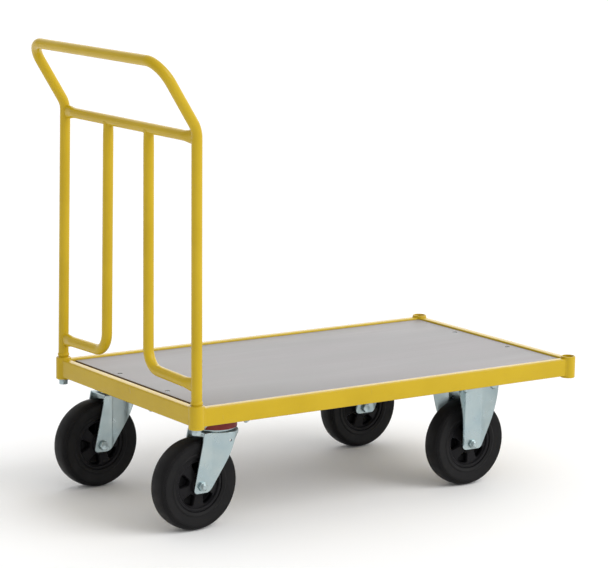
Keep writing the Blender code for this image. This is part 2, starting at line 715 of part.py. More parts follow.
def make_axle(prefix, side, parent, mats):
    """Axle bolt, lock nut and the bush that the hub runs on, about an empty at the axle."""
    face = FORK_HALF_WIDTH + GAP
    bore = AXLE_RADIUS + GAP
    head = -face - AXLE_HEAD_HEIGHT
    nut_end = face + AXLE_NUT_HEIGHT
    thread_end = face + AXLE_THREAD_END
    bolt = [(0, head), (AXLE_HEX - CHAMFER, head), (AXLE_HEX, head + CHAMFER, "hex"),
            (AXLE_HEX, -face, "hex"), (AXLE_RADIUS, -face), (AXLE_RADIUS, thread_end - CHAMFER),
            (AXLE_RADIUS - CHAMFER, thread_end), (0, thread_end)]
    nut = [(bore, face), (AXLE_HEX, face, "hex"), (AXLE_HEX, nut_end - CHAMFER, "hex"),
           (AXLE_HEX - CHAMFER, nut_end), (bore, nut_end)]
    end = FORK_HALF_WIDTH - SHEET - GAP
    bush = [(bore, -end), (BUSH_RADIUS, -end), (BUSH_RADIUS, end), (bore, end)]
    for name, profile in (("axle", bolt), ("nut", nut), ("bush", bush)):
        turned_out = [(point[0], SIDES[side] * point[1], *point[2:]) for point in profile]
        make_object(f"{prefix}_{name}_{side}", turned(turned_out, 12, 0.0, True), mats["zinc"],
                    parent)


def across_tool(name, parent, x, z, radius):
    """Rod along Y that drills both legs of a fork."""
    reach = CROWN_RADIUS + 0.02
    profile = [(0, -reach), (radius, -reach), (radius, reach), (0, reach)]
    return make_object(name, turned(profile, 12, 0.0, True), None, parent, (x, 0, z))


def add_plate_nuts(plate, name, long_x, long_y):
    """Washer, nut and bolt end at each corner of a top plate, made one with the plate."""
    washer_low = PLATE_BOTTOM - PLATE_WASHER_THICKNESS
    nut_low = washer_low - PLATE_NUT_HEIGHT
    end_low = nut_low - PLATE_BOLT_END
    seat = PLATE_BOTTOM + PLATE_THICKNESS / 4
    edge = 0.0006
    profile = [(0, end_low), (PLATE_BOLT_RADIUS - edge, end_low),
               (PLATE_BOLT_RADIUS, end_low + edge), (PLATE_BOLT_RADIUS, nut_low),
               (PLATE_NUT_HEX - edge, nut_low), (PLATE_NUT_HEX, nut_low + edge, "hex"),
               (PLATE_NUT_HEX, washer_low, "hex"), (PLATE_WASHER_RADIUS, washer_low),
               (PLATE_WASHER_RADIUS, seat), (0, seat)]
    for number, (sx, sy) in enumerate(((-1, -1), (-1, 1), (1, -1), (1, 1))):
        spot = plate.location + Vector((sx * long_x, sy * long_y, 0))
        tool = make_object(f"{name}_nut_{number}", turned(profile, 12), None, plate.parent, spot)
        combine(plate, tool, "UNION")


def leg_levels(bottom, top, corner):
    """Heights of a fork leg's rows, closer at the rounded foot, with each row's inset."""
    levels = []
    for step in range(3):
        angle = math.radians(90) * step / 3
        levels.append((bottom + corner * (1 - math.cos(angle)), corner * (1 - math.sin(angle))))
    levels.append((bottom + corner, 0.0))
    for step in range(1, 5):
        levels.append((bottom + corner + (top - bottom - corner) * step / 4, 0.0))
    return levels


def fork_reach(x, radius):
    """Outer half width of a swivel fork at x: flat band, flared flange, then round crown."""
    flange = FORK_HALF_WIDTH + max(0.0, x - CREASE_X) * FLANGE_SLOPE
    wrap = math.sqrt(max(radius ** 2 - x * x, 0.0))
    blend = 0.006
    share = min(max(0.5 + 0.5 * (wrap - flange) / blend, 0.0), 1.0)
    smooth_minimum = wrap + (flange - wrap) * share - blend * share * (1 - share)
    return FORK_HALF_WIDTH if x <= CREASE_X else smooth_minimum


def swivel_leg(sign):
    """Leg that leans from the axle up to the crown, with its front flange wrapped round it."""
    top = CROWN_TOP - SHEET
    rows = []
    for z, inset in leg_levels(LEG_FOOT, top, LEG_CORNER):
        rise = (z - LEG_FOOT) / (top - LEG_FOOT)
        rear = LEG_REAR[0] + (LEG_REAR[1] - LEG_REAR[0]) * rise + inset
        front = LEG_FRONT[0] + (LEG_FRONT[1] - LEG_FRONT[0]) * rise - inset
        crease = min(CREASE_X, rear + 0.8 * (front - rear))
        columns = [rear, crease] + [crease + (front - crease) * k / 5 for k in range(1, 6)]
        radius = CROWN_RADIUS - 0.0006
        rows.append([(x, sign * fork_reach(x, radius), z) for x in columns])
    return sheet(rows, SHEET)


def crown_outline(inset, rear):
    """Outline of the fork's crown from above: straight at the rear, round at the front."""
    half = [(rear, FORK_HALF_WIDTH - inset), (CREASE_X, FORK_HALF_WIDTH - inset)]
    for step in range(1, 8):
        x = CREASE_X + (CROWN_FRONT - CREASE_X) * step / 7
        half.append((x, fork_reach(x, CROWN_RADIUS) - inset))
    start = math.atan2(half[-1][1], half[-1][0])
    for step in range(1, 5):
        angle = start * (1 - step / 4)
        reach = CROWN_RADIUS - inset
        half.append((reach * math.cos(angle), reach * math.sin(angle)))
    lower = [(x, -y) for x, y in half[:-1]]
    return lower + half[::-1]


def make_swivel_fork(side, pivot, mats):
    """Crown plate with a skirt and a raised race, and two legs."""
    skirt_low = CROWN_TOP - CROWN_SKIRT
    crown = extruded(crown_outline(0.0, CROWN_REAR), skirt_low, CROWN_TOP)
    fork = make_object(f"swivel_fork_{side}", crown, mats["zinc"], pivot)
    hollow = extruded(crown_outline(SHEET, CROWN_REAR - 0.02), skirt_low - 0.01,
                      CROWN_TOP - SHEET)
    combine(fork, make_object(f"crown_hollow_{side}", hollow, None, pivot), "DIFFERENCE")
    race_top = CROWN_TOP + RACE_HEIGHT
    race = [(0, CROWN_TOP - 0.001), (RACE_RADIUS - 0.0012, CROWN_TOP - 0.001),
            (RACE_RADIUS - 0.0012, CROWN_TOP + 0.0018), (RACE_RADIUS + 0.0018, CROWN_TOP + 0.0022),
            (RACE_RADIUS + 0.0018, CROWN_TOP + 0.0048), (RACE_RADIUS, CROWN_TOP + 0.0052),
            (RACE_RADIUS, race_top), (0, race_top)]
    combine(fork, make_object(f"fork_race_{side}", turned(race, 32), None, pivot), "UNION")
    dish_radius = RACE_RADIUS - RACE_WALL
    pin_bore = KINGPIN_RADIUS + KINGPIN_CLEARANCE
    dish = [(0, skirt_low), (dish_radius, skirt_low), (dish_radius, race_top - RACE_WALL),
            (pin_bore, race_top - RACE_WALL), (pin_bore, race_top + 0.01), (0, race_top + 0.01)]
    combine(fork, make_object(f"fork_dish_{side}", turned(dish, 32), None, pivot), "DIFFERENCE")
    for sign in (-1, 1):
        leg = make_object(f"leg_{side}_{sign + 1}", swivel_leg(sign), None, pivot)
        combine(fork, leg, "UNION")
    axle_bore = AXLE_RADIUS + BORE_CLEARANCE
    axle = across_tool(f"axle_hole_{side}", pivot, -TRAIL, WHEEL_RADIUS, axle_bore)
    combine(fork, axle, "DIFFERENCE")
    hole = across_tool(f"leg_hole_{side}", pivot, *LEG_HOLE, LEG_HOLE_RADIUS)
    combine(fork, hole, "DIFFERENCE")


def make_swivel_mount(side, spot, mats):
    """Top plate with its pressed race, the red seal ring under it and the kingpin."""
    outline = rounded_outline(PLATE_LONG, PLATE_SHORT, PLATE_CORNER, 2)
    plate = make_object(f"swivel_plate_{side}", extruded(outline, PLATE_BOTTOM, PLATE_TOP),
                        mats["zinc"], location=spot)
    race_low = CROWN_TOP + RACE_HEIGHT + RACE_GAP
    race = [(0, race_low), (RACE_RADIUS, race_low), (RACE_RADIUS + 0.0005, PLATE_BOTTOM + 0.002),
            (0, PLATE_BOTTOM + 0.002)]
    combine(plate, make_object(f"race_{side}", turned(race, 32), None, None, spot), "UNION")
    bore_radius = KINGPIN_RADIUS + KINGPIN_CLEARANCE
    bore = [(0, race_low - 0.01), (bore_radius, race_low - 0.01),
            (bore_radius, PLATE_TOP + 0.01), (0, PLATE_TOP + 0.01)]
    hole = make_object(f"kingpin_hole_{side}", turned(bore, 16), None, None, spot)
    combine(plate, hole, "DIFFERENCE")
    add_plate_nuts(plate, f"swivel_{side}", PLATE_BOLT_LONG, PLATE_BOLT_SHORT)
    seal_low = CROWN_TOP + SEAL_RISE
    inside = RACE_RADIUS + 0.0011
    seal = [(inside, seal_low), (SEAL_RADIUS - 0.001, seal_low), (SEAL_RADIUS, seal_low + 0.001),
            (SEAL_RADIUS, PLATE_BOTTOM - GAP), (inside, PLATE_BOTTOM - GAP)]
    make_object(f"swivel_seal_{side}", turned(seal, 32), mats["seal"], None, spot)
    head_top = CROWN_TOP + RACE_HEIGHT - RACE_WALL - GAP
    head_low = head_top - KINGPIN_HEAD_HEIGHT
    pin_top = PLATE_TOP - 0.001
    pin = [(0, head_low), (KINGPIN_HEX - CHAMFER, head_low),
           (KINGPIN_HEX, head_low + CHAMFER, "hex"), (KINGPIN_HEX, head_top, "hex"),
           (KINGPIN_RADIUS, head_top), (KINGPIN_RADIUS, pin_top), (0, pin_top)]
    make_object(f"swivel_kingpin_{side}", turned(pin, 12), mats["zinc"], None, spot)


def make_swivel_castor(side, mats):
    spot = Vector((PIVOT_X, SIDES[side] * CASTOR_Y, 0))
    make_swivel_mount(side, spot, mats)
    pivot = make_empty(f"swivel_axis_{side}", spot, STEER[side])
    make_swivel_fork(side, pivot, mats)
    axle = Vector((-TRAIL, 0, WHEEL_RADIUS))
    axis = make_empty(f"swivel_axle_axis_{side}", axle, 0.0, pivot)
    make_axle("swivel", side, axis, mats)
    make_wheel("swivel", side, axis, mats)


def fixed_flare(z):
    """How far a fixed fork's flange edges stand out past its band at a height."""
    rise = max(0.0, z - FIXED_FLARE_START) / (FIXED_FLARE_PEAK - FIXED_FLARE_START)
    return FIXED_FLARE * math.sin(0.5 * math.pi * rise) ** 1.2


def fixed_leg(sign):
    """Upright leg: a flat middle band between two flanges that flare outwards."""
    top = PLATE_BOTTOM + PLATE_THICKNESS / 2
    rows = []
    for z, inset in leg_levels(FIXED_FOOT_HEIGHT, top, FIXED_CORNER):
        edge = FIXED_FOOT + FIXED_EDGE_SLOPE * (z - FIXED_FOOT_HEIGHT) - inset
        band = min(FIXED_BAND, 0.9 * edge)
        flared = FORK_HALF_WIDTH + fixed_flare(z)
        row = [(-edge, flared), (-band, FORK_HALF_WIDTH), (0, FORK_HALF_WIDTH),
               (band, FORK_HALF_WIDTH), (edge, flared)]
        rows.append([(x, sign * y, z) for x, y in row])
    return sheet(rows, SHEET)


def make_fixed_castor(side, mats):
    spot = Vector((FIXED_X, SIDES[side] * CASTOR_Y, 0))
    centre = make_empty(f"fixed_castor_{side}", spot)
    outline = rounded_outline(PLATE_SHORT, PLATE_LONG, PLATE_CORNER, 2)
    fork = make_object(f"fixed_fork_{side}", extruded(outline, PLATE_BOTTOM, PLATE_TOP),
                       mats["zinc"], centre)
    add_plate_nuts(fork, f"fixed_{side}", PLATE_BOLT_SHORT, PLATE_BOLT_LONG)
    for sign in (-1, 1):
        leg = make_object(f"fixed_leg_{side}_{sign + 1}", fixed_leg(sign), None, centre)
        combine(fork, leg, "UNION")
    bore = AXLE_RADIUS + BORE_CLEARANCE
    axle = across_tool(f"fixed_axle_hole_{side}", centre, 0.0, WHEEL_RADIUS, bore)
    combine(fork, axle, "DIFFERENCE")
    axis = make_empty(f"fixed_axle_axis_{side}", Vector((0, 0, WHEEL_RADIUS)), 0.0, centre)
    make_axle("fixed", side, axis, mats)
    make_wheel("fixed", side, axis, mats)


def main():
    clear_scene()
    mats = make_materials()
    make_sockets(mats)
    make_rails(mats, make_socket_tools())
    screw_tools = make_screw_tools()
    make_cross_tubes(mats, screw_tools)
    make_board(mats, screw_tools)
    make_screws(mats)
    make_handle_loop(mats)
    loop_tool, bar_tool = make_handle_tools()
    make_crossbar(mats, loop_tool)
    make_braces(mats, loop_tool, bar_tool)
    make_handle_fixings(mats)
    for side in SIDES:
        make_swivel_castor(side, mats)
        make_fixed_castor(side, mats)


main()
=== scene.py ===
"""Looks of the platform trolley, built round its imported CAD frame.

Metres, +Z up, floor at Z = 0.  The handle is at the -X end and "left" is +Y, as in the frame.
Nearly every CAD node is replaced by a finer piece in the same place.  The few that lie hidden
inside the others keep their mesh and only get a better material.
"""
import json
import math

import bmesh
import bpy
from mathutils import Matrix, Vector


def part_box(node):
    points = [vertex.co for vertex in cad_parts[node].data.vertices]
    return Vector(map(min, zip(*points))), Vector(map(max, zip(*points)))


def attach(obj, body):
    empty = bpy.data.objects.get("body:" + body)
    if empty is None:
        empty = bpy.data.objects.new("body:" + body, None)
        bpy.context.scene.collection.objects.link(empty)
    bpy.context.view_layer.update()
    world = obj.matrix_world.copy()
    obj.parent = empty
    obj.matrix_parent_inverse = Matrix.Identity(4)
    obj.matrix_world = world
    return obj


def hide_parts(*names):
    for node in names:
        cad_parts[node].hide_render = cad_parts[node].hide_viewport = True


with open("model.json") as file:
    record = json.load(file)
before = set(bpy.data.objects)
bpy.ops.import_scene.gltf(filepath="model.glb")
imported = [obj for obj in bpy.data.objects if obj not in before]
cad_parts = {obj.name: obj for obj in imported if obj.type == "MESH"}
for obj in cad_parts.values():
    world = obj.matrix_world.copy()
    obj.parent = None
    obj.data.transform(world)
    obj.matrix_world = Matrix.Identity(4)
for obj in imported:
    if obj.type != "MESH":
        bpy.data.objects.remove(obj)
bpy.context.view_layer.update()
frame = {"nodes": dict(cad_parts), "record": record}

SIDES = {"right": -1, "left": 1}
PLATFORM = "platform"
FIT = 0.0002  # how far a welded or seated piece runs into its neighbour's skin
GAP = 0.0003  # between two CAD nodes that rest on each other

# Frame
RAIL_CORNER = 0.003
RAIL_WALL = 0.002
SOCKET_BORE = 0.0136
SOCKET_EDGE = 0.0012
FILLET_RADIUS = 0.011
FILLET_SINK = 0.0006
BEAD_SMALL = 0.0016
BEAD_LARGE = 0.0019
BEAD_SPACING = 0.0013
BEAD_SEGMENTS = 10
CROSS_CORNER = 0.0025
RIVET_HEAD = ((0, -0.0040), (0.0030, -0.0037), (0.0055, -0.0022), (0.0062, -0.0003))
RIVET_SHANK = 0.0024
RIVET_LENGTH = 0.0030

# Deck board and its screws
BOARD_NOTCH = 0.0185
BOARD_EDGE = 0.0007
SCREW_HEAD_RADIUS = 0.0054
SCREW_HEAD_HEIGHT = 0.0026
SCREW_RADIUS = 0.0024
SCREW_SOCKET = 0.0021
SCREW_SOCKET_DEPTH = 0.0020
SCREW_THREAD = (-0.0050, -0.0225)
SCREW_TIP = -0.0240
SCREW_HOLE_LOW = -0.0200
BORE_CLEARANCE = 0.0004

# Push handle, centreline sizes
TUBE_RADIUS = 0.0116
TUBE_WALL = 0.002
TUBE_SEGMENTS = 40
LEAN_START = 0.300
BEND_HEIGHT = 0.866
BEND_HALF_WIDTH = 0.2765
TOP_HALF_WIDTH = 0.2746
GRIP_TILT = math.radians(32.5)
GRIP_SLOPE = 0.1663
BEND_RADIUS = 0.055
CORNER_RADIUS = 0.052
BEND_SQUEEZE = 0.025
CROSSBAR_HEIGHT = 0.8490
FLAT_HALF_HEIGHT = 0.0150
FLAT_HALF_DEPTH = 0.0082
FLAT_RUN = 0.014
FLAT_LENGTH = 0.048
BRACE_TOP_Y = 0.085
BRACE_LOW_Y = 0.089
BRACE_ARM_HEIGHT = 0.334
BRACE_FOOT_HEIGHT = 0.3295
BRACE_BEND = 0.045
WRINKLE_HEIGHT = 0.0017
WRINKLE_WIDTH = 0.0032
PLUG_RADIUS = 0.0132
SEAM_RADIUS = 0.0116
FOOT_BEAD_RADIUS = 0.0131
FOOT_BEAD_HALF = 0.0036
FIXING_WASHER = (0.0065, 0.0120)
FIXING_HEX = 0.0095

# Castors: wheel
WHEEL_RADIUS = 0.100
HUB_RADIUS = 0.059
HUB_HALF_LENGTH = 0.0275
HUB_RIM_FACE = 0.0190
HUB_BORE = 0.0099
RIM_INNER = 0.0530
RIM_STEP = 0.0150
BOSS_RADIUS = 0.0200
FACE_INNER = (0.0218, 0.0190)
FACE_OUTER = (0.0508, 0.0150)
POCKET_COUNT = 5
POCKET_INNER = 0.0230
POCKET_OUTER = 0.0497
POCKET_FLOOR = 0.0030
POCKET_INNER_HALF = math.radians(17)
POCKET_OUTER_HALF = math.radians(21.5)
POCKET_SQUARENESS = 5
POCKET_TURN = {"swivel_right": 52, "swivel_left": 35, "fixed_right": 38, "fixed_left": 64.5}
TYRE_SEGMENTS = 144
TYRE_HALF = ((0.0593, 0.0190), (0.0600, 0.0208), (0.0640, 0.0219), (0.0662, 0.0231),
             (0.0678, 0.0231), (0.0698, 0.0220), (0.0760, 0.0229), (0.0830, 0.0241),
             (0.0872, 0.0245), (0.0890, 0.0244), (0.0893, 0.0235), (0.0901, 0.0234),
             (0.0905, 0.0239), (0.0922, 0.0232), (0.0924, 0.0222), (0.0932, 0.0217),
             (0.0937, 0.0221), (0.0953, 0.0206), (0.0954, 0.0196), (0.0961, 0.0189),
             (0.0967, 0.0191), (0.0984, 0.0156), (0.0993, 0.0110), (0.0998, 0.0058),
             (0.1000, 0.0016))

# Castors: axle, fork, plate and swivel bearing
AXLE_RADIUS = 0.006
AXLE_HEX = 0.0095
AXLE_HEAD = 0.0075
AXLE_NUT = 0.0058
AXLE_COLLAR = 0.0080
AXLE_END = 0.0120
TRAIL = 0.054
STEER = {"right": math.radians(3.1), "left": math.radians(1.0)}
SHEET = 0.003
FORK_HALF_WIDTH = 0.032
FLANGE_SLOPE = math.tan(math.radians(27))
CREASE_X = -0.030
CREASE_BEND = 0.0013
CROWN_RADIUS = 0.050
CROWN_TOP = 0.214
CROWN_SKIRT = 0.009
CROWN_BEND = 0.0024
CROWN_HOLE = 0.034
CROWN_BLEND = 0.006
LEG_REAR = (-0.0761, -0.0490)
LEG_FRONT = (-0.0332, 0.0272)
LEG_FOOT = 0.0845
LEG_CORNER = 0.010
LEG_FLARE = 0.006
LEG_FLARE_HEIGHT = 0.012
LEG_HOLE = (0.0070, 0.1955)
LEG_HOLE_RADIUS = 0.0028
FIXED_BAND = 0.0235
FIXED_FOOT = 0.0258
FIXED_EDGE_SLOPE = 0.213
FIXED_FLARE = 0.021
FIXED_FLARE_START = 0.092
FIXED_FLARE_PEAK = 0.202
FIXED_FOOT_HEIGHT = 0.0875
FIXED_CORNER = 0.009
FIXED_TOP_BEND = 0.005
PLATE_CORNER = 0.008
PLATE_EDGE = 0.0006
PLATE_THICKNESS = 0.004
PLATE_LONG = 0.140
PLATE_SHORT = 0.120
SHEET_EDGE = 0.0005
PLATE_BOLT_LONG = 0.0525
PLATE_BOLT_SHORT = 0.040
NUT_HEX = 0.0065
NUT_HEIGHT = 0.0065
BOLT_RADIUS = 0.004
WASHER_RADIUS = 0.0080
WASHER_THICKNESS = 0.0016
RACE_RADIUS = 0.0420
RACE_GROOVE = 0.0408
RACE_BEAD = 0.0438
RACE_HEIGHT = 0.0115
SEAL_RADIUS = 0.0475
KINGPIN_RADIUS = 0.008
KINGPIN_HEX = 0.0120

# Camera: place, then yaw, pitch and roll in degrees
CAMERA_PLACE = (-3.1469, -4.5608, 1.4622)
CAMERA_TURN = (34.599, 10.252, 0.966)
CAMERA_LENS = 146.9

SMOOTH_ANGLE = math.radians(32)
BEVEL_ANGLE = math.radians(48)
UPRIGHT = Matrix.Identity(4)
AXIS_TO_Y = Matrix.Rotation(math.radians(-90), 4, "X")


# ---------------------------------------------------------------- places read from the frame

def centre_of(node):
    low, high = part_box(node)
    return (low + high) / 2


def upright_at(spot, z=0.0):
    """Placing matrix above or below a spot, whose own height is left out."""
    return Matrix.Translation((spot.x, spot.y, z))


def body_holding(node):
    for body, members in frame["record"]["behaviour"]["bodies"].items():
        if node in members:
            return body
    return PLATFORM


SIDE_RAIL_LOW, SIDE_RAIL_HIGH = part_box("side_rail_right")
RAIL_WIDTH = SIDE_RAIL_HIGH.y - SIDE_RAIL_LOW.y
RAIL_HEIGHT = SIDE_RAIL_HIGH.z - SIDE_RAIL_LOW.z
RAIL_BOTTOM = SIDE_RAIL_LOW.z
RAIL_MID = RAIL_BOTTOM + RAIL_HEIGHT / 2
SOCKET_LOW, SOCKET_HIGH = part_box("corner_socket_handle_left")
SOCKET_RADIUS = (SOCKET_HIGH.y - SOCKET_LOW.y) / 2
REAR_X = (SOCKET_LOW.x + SOCKET_HIGH.x) / 2
AXIS_Y = (SOCKET_LOW.y + SOCKET_HIGH.y) / 2
FRONT_X = centre_of("corner_socket_front_left").x
BOARD_LOW, BOARD_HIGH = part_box("deck_board")
PLATE_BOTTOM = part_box("swivel_seal_left")[1].z + GAP
PLATE_TOP = PLATE_BOTTOM + PLATE_THICKNESS


# ---------------------------------------------------------------- procedural materials

def start_material(name, metallic=0.0, specular=0.5):
    mat = bpy.data.materials.new(name)
    mat.use_nodes = True
    shader = mat.node_tree.nodes["Principled BSDF"]
    shader.inputs["Metallic"].default_value = metallic
    shader.inputs["Specular IOR Level"].default_value = specular
    return mat, shader


def feed(mat, socket, value):
    """Links an input to another socket, or sets it to a constant."""
    if isinstance(value, bpy.types.NodeSocket):
        mat.node_tree.links.new(value, socket)
    elif socket.type == "RGBA":
        socket.default_value = (*value, 1.0)
    else:
        socket.default_value = value


def add_node(mat, kind, **links):
    """New node whose named inputs are fed by sockets or set to constants."""
    node = mat.node_tree.nodes.new(kind)
    for name, value in links.items():
        feed(mat, node.inputs[name.replace("_", " ")], value)
    return node


def noise(mat, scale, detail=3.0, stretch=(1, 1, 1), roughness=0.5):
    """Noise in the piece's own metres; stretch multiplies its frequency along each axis."""
    coords = add_node(mat, "ShaderNodeTexCoord")
    mapping = add_node(mat, "ShaderNodeMapping", Vector=coords.outputs["Object"], Scale=stretch)
    texture = add_node(mat, "ShaderNodeTexNoise", Vector=mapping.outputs["Vector"], Scale=scale,
                       Detail=detail, Roughness=roughness)
    return texture.outputs["Fac"]


def spread(mat, value, low, high, start=0.3, end=0.7):
    """Maps start..end of a value to low..high, and clamps it."""
    limits = {"From_Min": start, "From_Max": end, "To_Min": low, "To_Max": high}
    return add_node(mat, "ShaderNodeMapRange", Value=value, **limits).outputs["Result"]


def clouds(mat, scale, detail, low=0.0, high=1.0):
    """Slow random change between two values."""
    return spread(mat, noise(mat, scale, detail), low, high)


def mixed(mat, share, colour_a, colour_b):
    """Colour between two colours or colour sockets."""
    node = mat.node_tree.nodes.new("ShaderNodeMix")
    node.data_type = "RGBA"
    for index, value in ((0, share), (6, colour_a), (7, colour_b)):
        feed(mat, node.inputs[index], value)
    return node.outputs[2]


def calculated(mat, operation, first, second=0.0):
    node = mat.node_tree.nodes.new("ShaderNodeMath")
    node.operation = operation
    for socket, value in zip(node.inputs, (first, second)):
        feed(mat, socket, value)
    return node.outputs[0]


def separated(mat, output):
    """X, Y and Z of one of the texture coordinates."""
    coords = add_node(mat, "ShaderNodeTexCoord")
    return add_node(mat, "ShaderNodeSeparateXYZ", Vector=coords.outputs[output]).outputs


def bumped(mat, height, distance, strength=1.0, under=None):
    node = add_node(mat, "ShaderNodeBump", Height=height, Distance=distance, Strength=strength)
    if under:
        mat.node_tree.links.new(under, node.inputs["Normal"])
    return node.outputs["Normal"]


def finish_material(mat, shader, colour, roughness, normal):
    for name, socket in (("Base Color", colour), ("Roughness", roughness), ("Normal", normal)):
        mat.node_tree.links.new(socket, shader.inputs[name])
    return mat


def paint_material():
    """Yellow powder coat: orange peel, faint clouding and a few dull scuffs."""
    mat, shader = start_material("yellow_powder_coat", specular=0.22)
    cloud = mixed(mat, clouds(mat, 9, 4), (0.510, 0.345, 0.010), (0.560, 0.385, 0.014))
    scuff = spread(mat, noise(mat, 46, 9, (1, 1, 0.35), 0.62), 0.0, 0.55, 0.63, 0.72)
    colour = mixed(mat, scuff, cloud, (0.430, 0.300, 0.030))
    gloss = clouds(mat, 60, 5, 0.16, 0.26)
    roughness = calculated(mat, "ADD", gloss, calculated(mat, "MULTIPLY", scuff, 0.18))
    waves = bumped(mat, noise(mat, 55, 2), 0.00035, 0.35)
    peel = bumped(mat, noise(mat, 620, 2), 0.00012, 0.55, waves)
    return finish_material(mat, shader, colour, roughness, peel)


def board_material():
    """Grey film-faced plywood: lengthwise grain on its faces and bare plies on its edges."""
    mat, shader = start_material("grey_film_faced_plywood", specular=0.42)
    grain = noise(mat, 1.0, 6, (3.5, 95, 1), 0.6)
    patches = noise(mat, 1.0, 3, (3.0, 11, 1))
    face = mixed(mat, spread(mat, grain, 0.0, 1.0), (0.262, 0.258, 0.258), (0.312, 0.304, 0.304))
    face = mixed(mat, spread(mat, patches, 0.0, 0.4), face, (0.335, 0.305, 0.318))
    scratches = spread(mat, noise(mat, 1.0, 9, (9, 210, 1), 0.7), 0.0, 0.35, 0.66, 0.76)
    face = mixed(mat, scratches, face, (0.370, 0.362, 0.362))
    height = separated(mat, "Object")["Z"]
    plies = calculated(mat, "SINE", calculated(mat, "MULTIPLY", height, 4300.0))
    fibres = spread(mat, noise(mat, 1.0, 6, (300, 300, 2200)), -0.4, 0.4)
    layer = spread(mat, calculated(mat, "ADD", plies, fibres), 0.0, 1.0, -0.5, 0.5)
    edge = mixed(mat, layer, (0.060, 0.036, 0.020), (0.170, 0.104, 0.056))
    flatness = calculated(mat, "ABSOLUTE", separated(mat, "Normal")["Z"])
    colour = mixed(mat, spread(mat, flatness, 0.0, 1.0, 0.55, 0.75), edge, face)
    roughness = spread(mat, grain, 0.40, 0.56)
    normal = bumped(mat, grain, 0.00012, 0.5)
    return finish_material(mat, shader, colour, roughness, normal)


def zinc_material():
    """Bright zinc plate: faint blue passivation, clouded gloss and fine rolling lines."""
    mat, shader = start_material("zinc_plated_steel", metallic=1.0)
    colour = mixed(mat, clouds(mat, 26, 4), (0.370, 0.460, 0.485), (0.445, 0.515, 0.515))
    stains = spread(mat, noise(mat, 70, 8, (1, 1, 0.5), 0.6), 0.0, 0.5, 0.60, 0.74)
    colour = mixed(mat, stains, colour, (0.330, 0.400, 0.415))
    roughness = clouds(mat, 48, 5, 0.24, 0.40)
    rolled = bumped(mat, noise(mat, 160, 3, (1, 1, 0.12)), 0.00010, 0.35)
    grainy = bumped(mat, noise(mat, 1500, 2), 0.00003, 0.4, rolled)
    return finish_material(mat, shader, colour, roughness, grainy)


def dark_material(name, shades, gloss, grain_size, grain_depth, specular, painted_pocket_shade=None):
    """Dark moulded material with dusty clouding, uneven gloss and a fine surface grain.

    A painted shade colour takes over near the middle of the piece's thickness, darkening the deep
    hub pockets as shadow would.
    """
    mat, shader = start_material(name, specular=specular)
    dust = spread(mat, noise(mat, 34, 6, roughness=0.6), 0.0, 1.0, 0.35, 0.75)
    colour = mixed(mat, dust, *shades)
    if painted_pocket_shade:
        # Painted shade: the pocket floors near the hub's middle plane are darkened towards the
        # painted shade colour.
        off_middle = calculated(mat, "SUBTRACT", separated(mat, "Generated")["Y"], 0.5)
        height = calculated(mat, "ABSOLUTE", off_middle)
        colour = mixed(mat, spread(mat, height, 0.0, 1.0, 0.10, 0.24), painted_pocket_shade, colour)
    roughness = clouds(mat, 80, 4, *gloss)
    uneven = bumped(mat, noise(mat, 120, 3), 0.00015, 0.3)
    grain = bumped(mat, noise(mat, grain_size, 3), grain_depth, 0.6, uneven)
    return finish_material(mat, shader, colour, roughness, grain)


RUBBER_SHADES = ((0.0070, 0.0069, 0.0074), (0.0110, 0.0105, 0.0110))
HUB_SHADES = ((0.0085, 0.0083, 0.0095), (0.0125, 0.0120, 0.0130))
# Painted shade for the deep hub pockets, darker than the hub plastic itself.
HUB_PAINTED_POCKET_SHADE = (0.0010, 0.0010, 0.0016)
SEAL_SHADES = ((0.150, 0.014, 0.012), (0.200, 0.022, 0.018))
MATERIALS = {
    "frame_paint": paint_material(),
    "deck_board": board_material(),
    "zinc_steel": zinc_material(),
    "tyre_rubber": dark_material("black_tyre_rubber", RUBBER_SHADES, (0.42, 0.58), 900,
                                 0.00006, 0.13),
    "hub_plastic": dark_material("black_hub_plastic", HUB_SHADES, (0.26, 0.38), 1400,
                                 0.00004, 0.10, HUB_PAINTED_POCKET_SHADE),
    "seal_plastic": dark_material("red_seal_plastic", SEAL_SHADES, (0.36, 0.50), 1100,
                                  0.00003, 0.25),
}


# ---------------------------------------------------------------- pieces on the frame

def in_scene(name, data):
    """New object of some data, linked to the scene."""
    thing = bpy.data.objects.new(name, data)
    bpy.context.scene.collection.objects.link(thing)
    return thing


def baked_mesh(name, mesh_bm):
    mesh = bpy.data.meshes.new(name)
    mesh_bm.to_mesh(mesh)
    mesh_bm.free()
    return mesh


def new_piece(name, mesh_bm, slot, body):
    """Object with the material that its slot name picks, parented under the empty of a CAD body."""
    bmesh.ops.remove_doubles(mesh_bm, verts=mesh_bm.verts, dist=0.000002)
    bmesh.ops.recalc_face_normals(mesh_bm, faces=mesh_bm.faces)
    mesh = baked_mesh(name, mesh_bm)
    mesh.shade_smooth()
    mesh.set_sharp_from_angle(angle=SMOOTH_ANGLE)
    mesh.materials.append(MATERIALS[slot])
    piece = in_scene(name, mesh)
    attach(piece, body)
    return piece


def stand_in(node, mesh_bm, slot="zinc_steel"):
    """Finer piece that is shown instead of a CAD node."""
    piece = new_piece(node + "_shape", mesh_bm, slot, body_holding(node))
    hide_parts(node)
    return piece


def drill(piece, name, mesh_bm):
    """Cuts a hidden tool out of a piece."""
    bmesh.ops.recalc_face_normals(mesh_bm, faces=mesh_bm.faces)
    tool = in_scene(name, baked_mesh(name, mesh_bm))
    tool.hide_render = True
    tool.display_type = "WIRE"
    cut = piece.modifiers.new(name, "BOOLEAN")
    cut.operation = "DIFFERENCE"
    cut.solver = "EXACT"
    cut.object = tool


def round_edges(piece):
    bevel = piece.modifiers.new("rounded_edges", "BEVEL")
    bevel.width = SHEET_EDGE
    bevel.segments = 2
    bevel.limit_method = "ANGLE"
    bevel.angle_limit = BEVEL_ANGLE


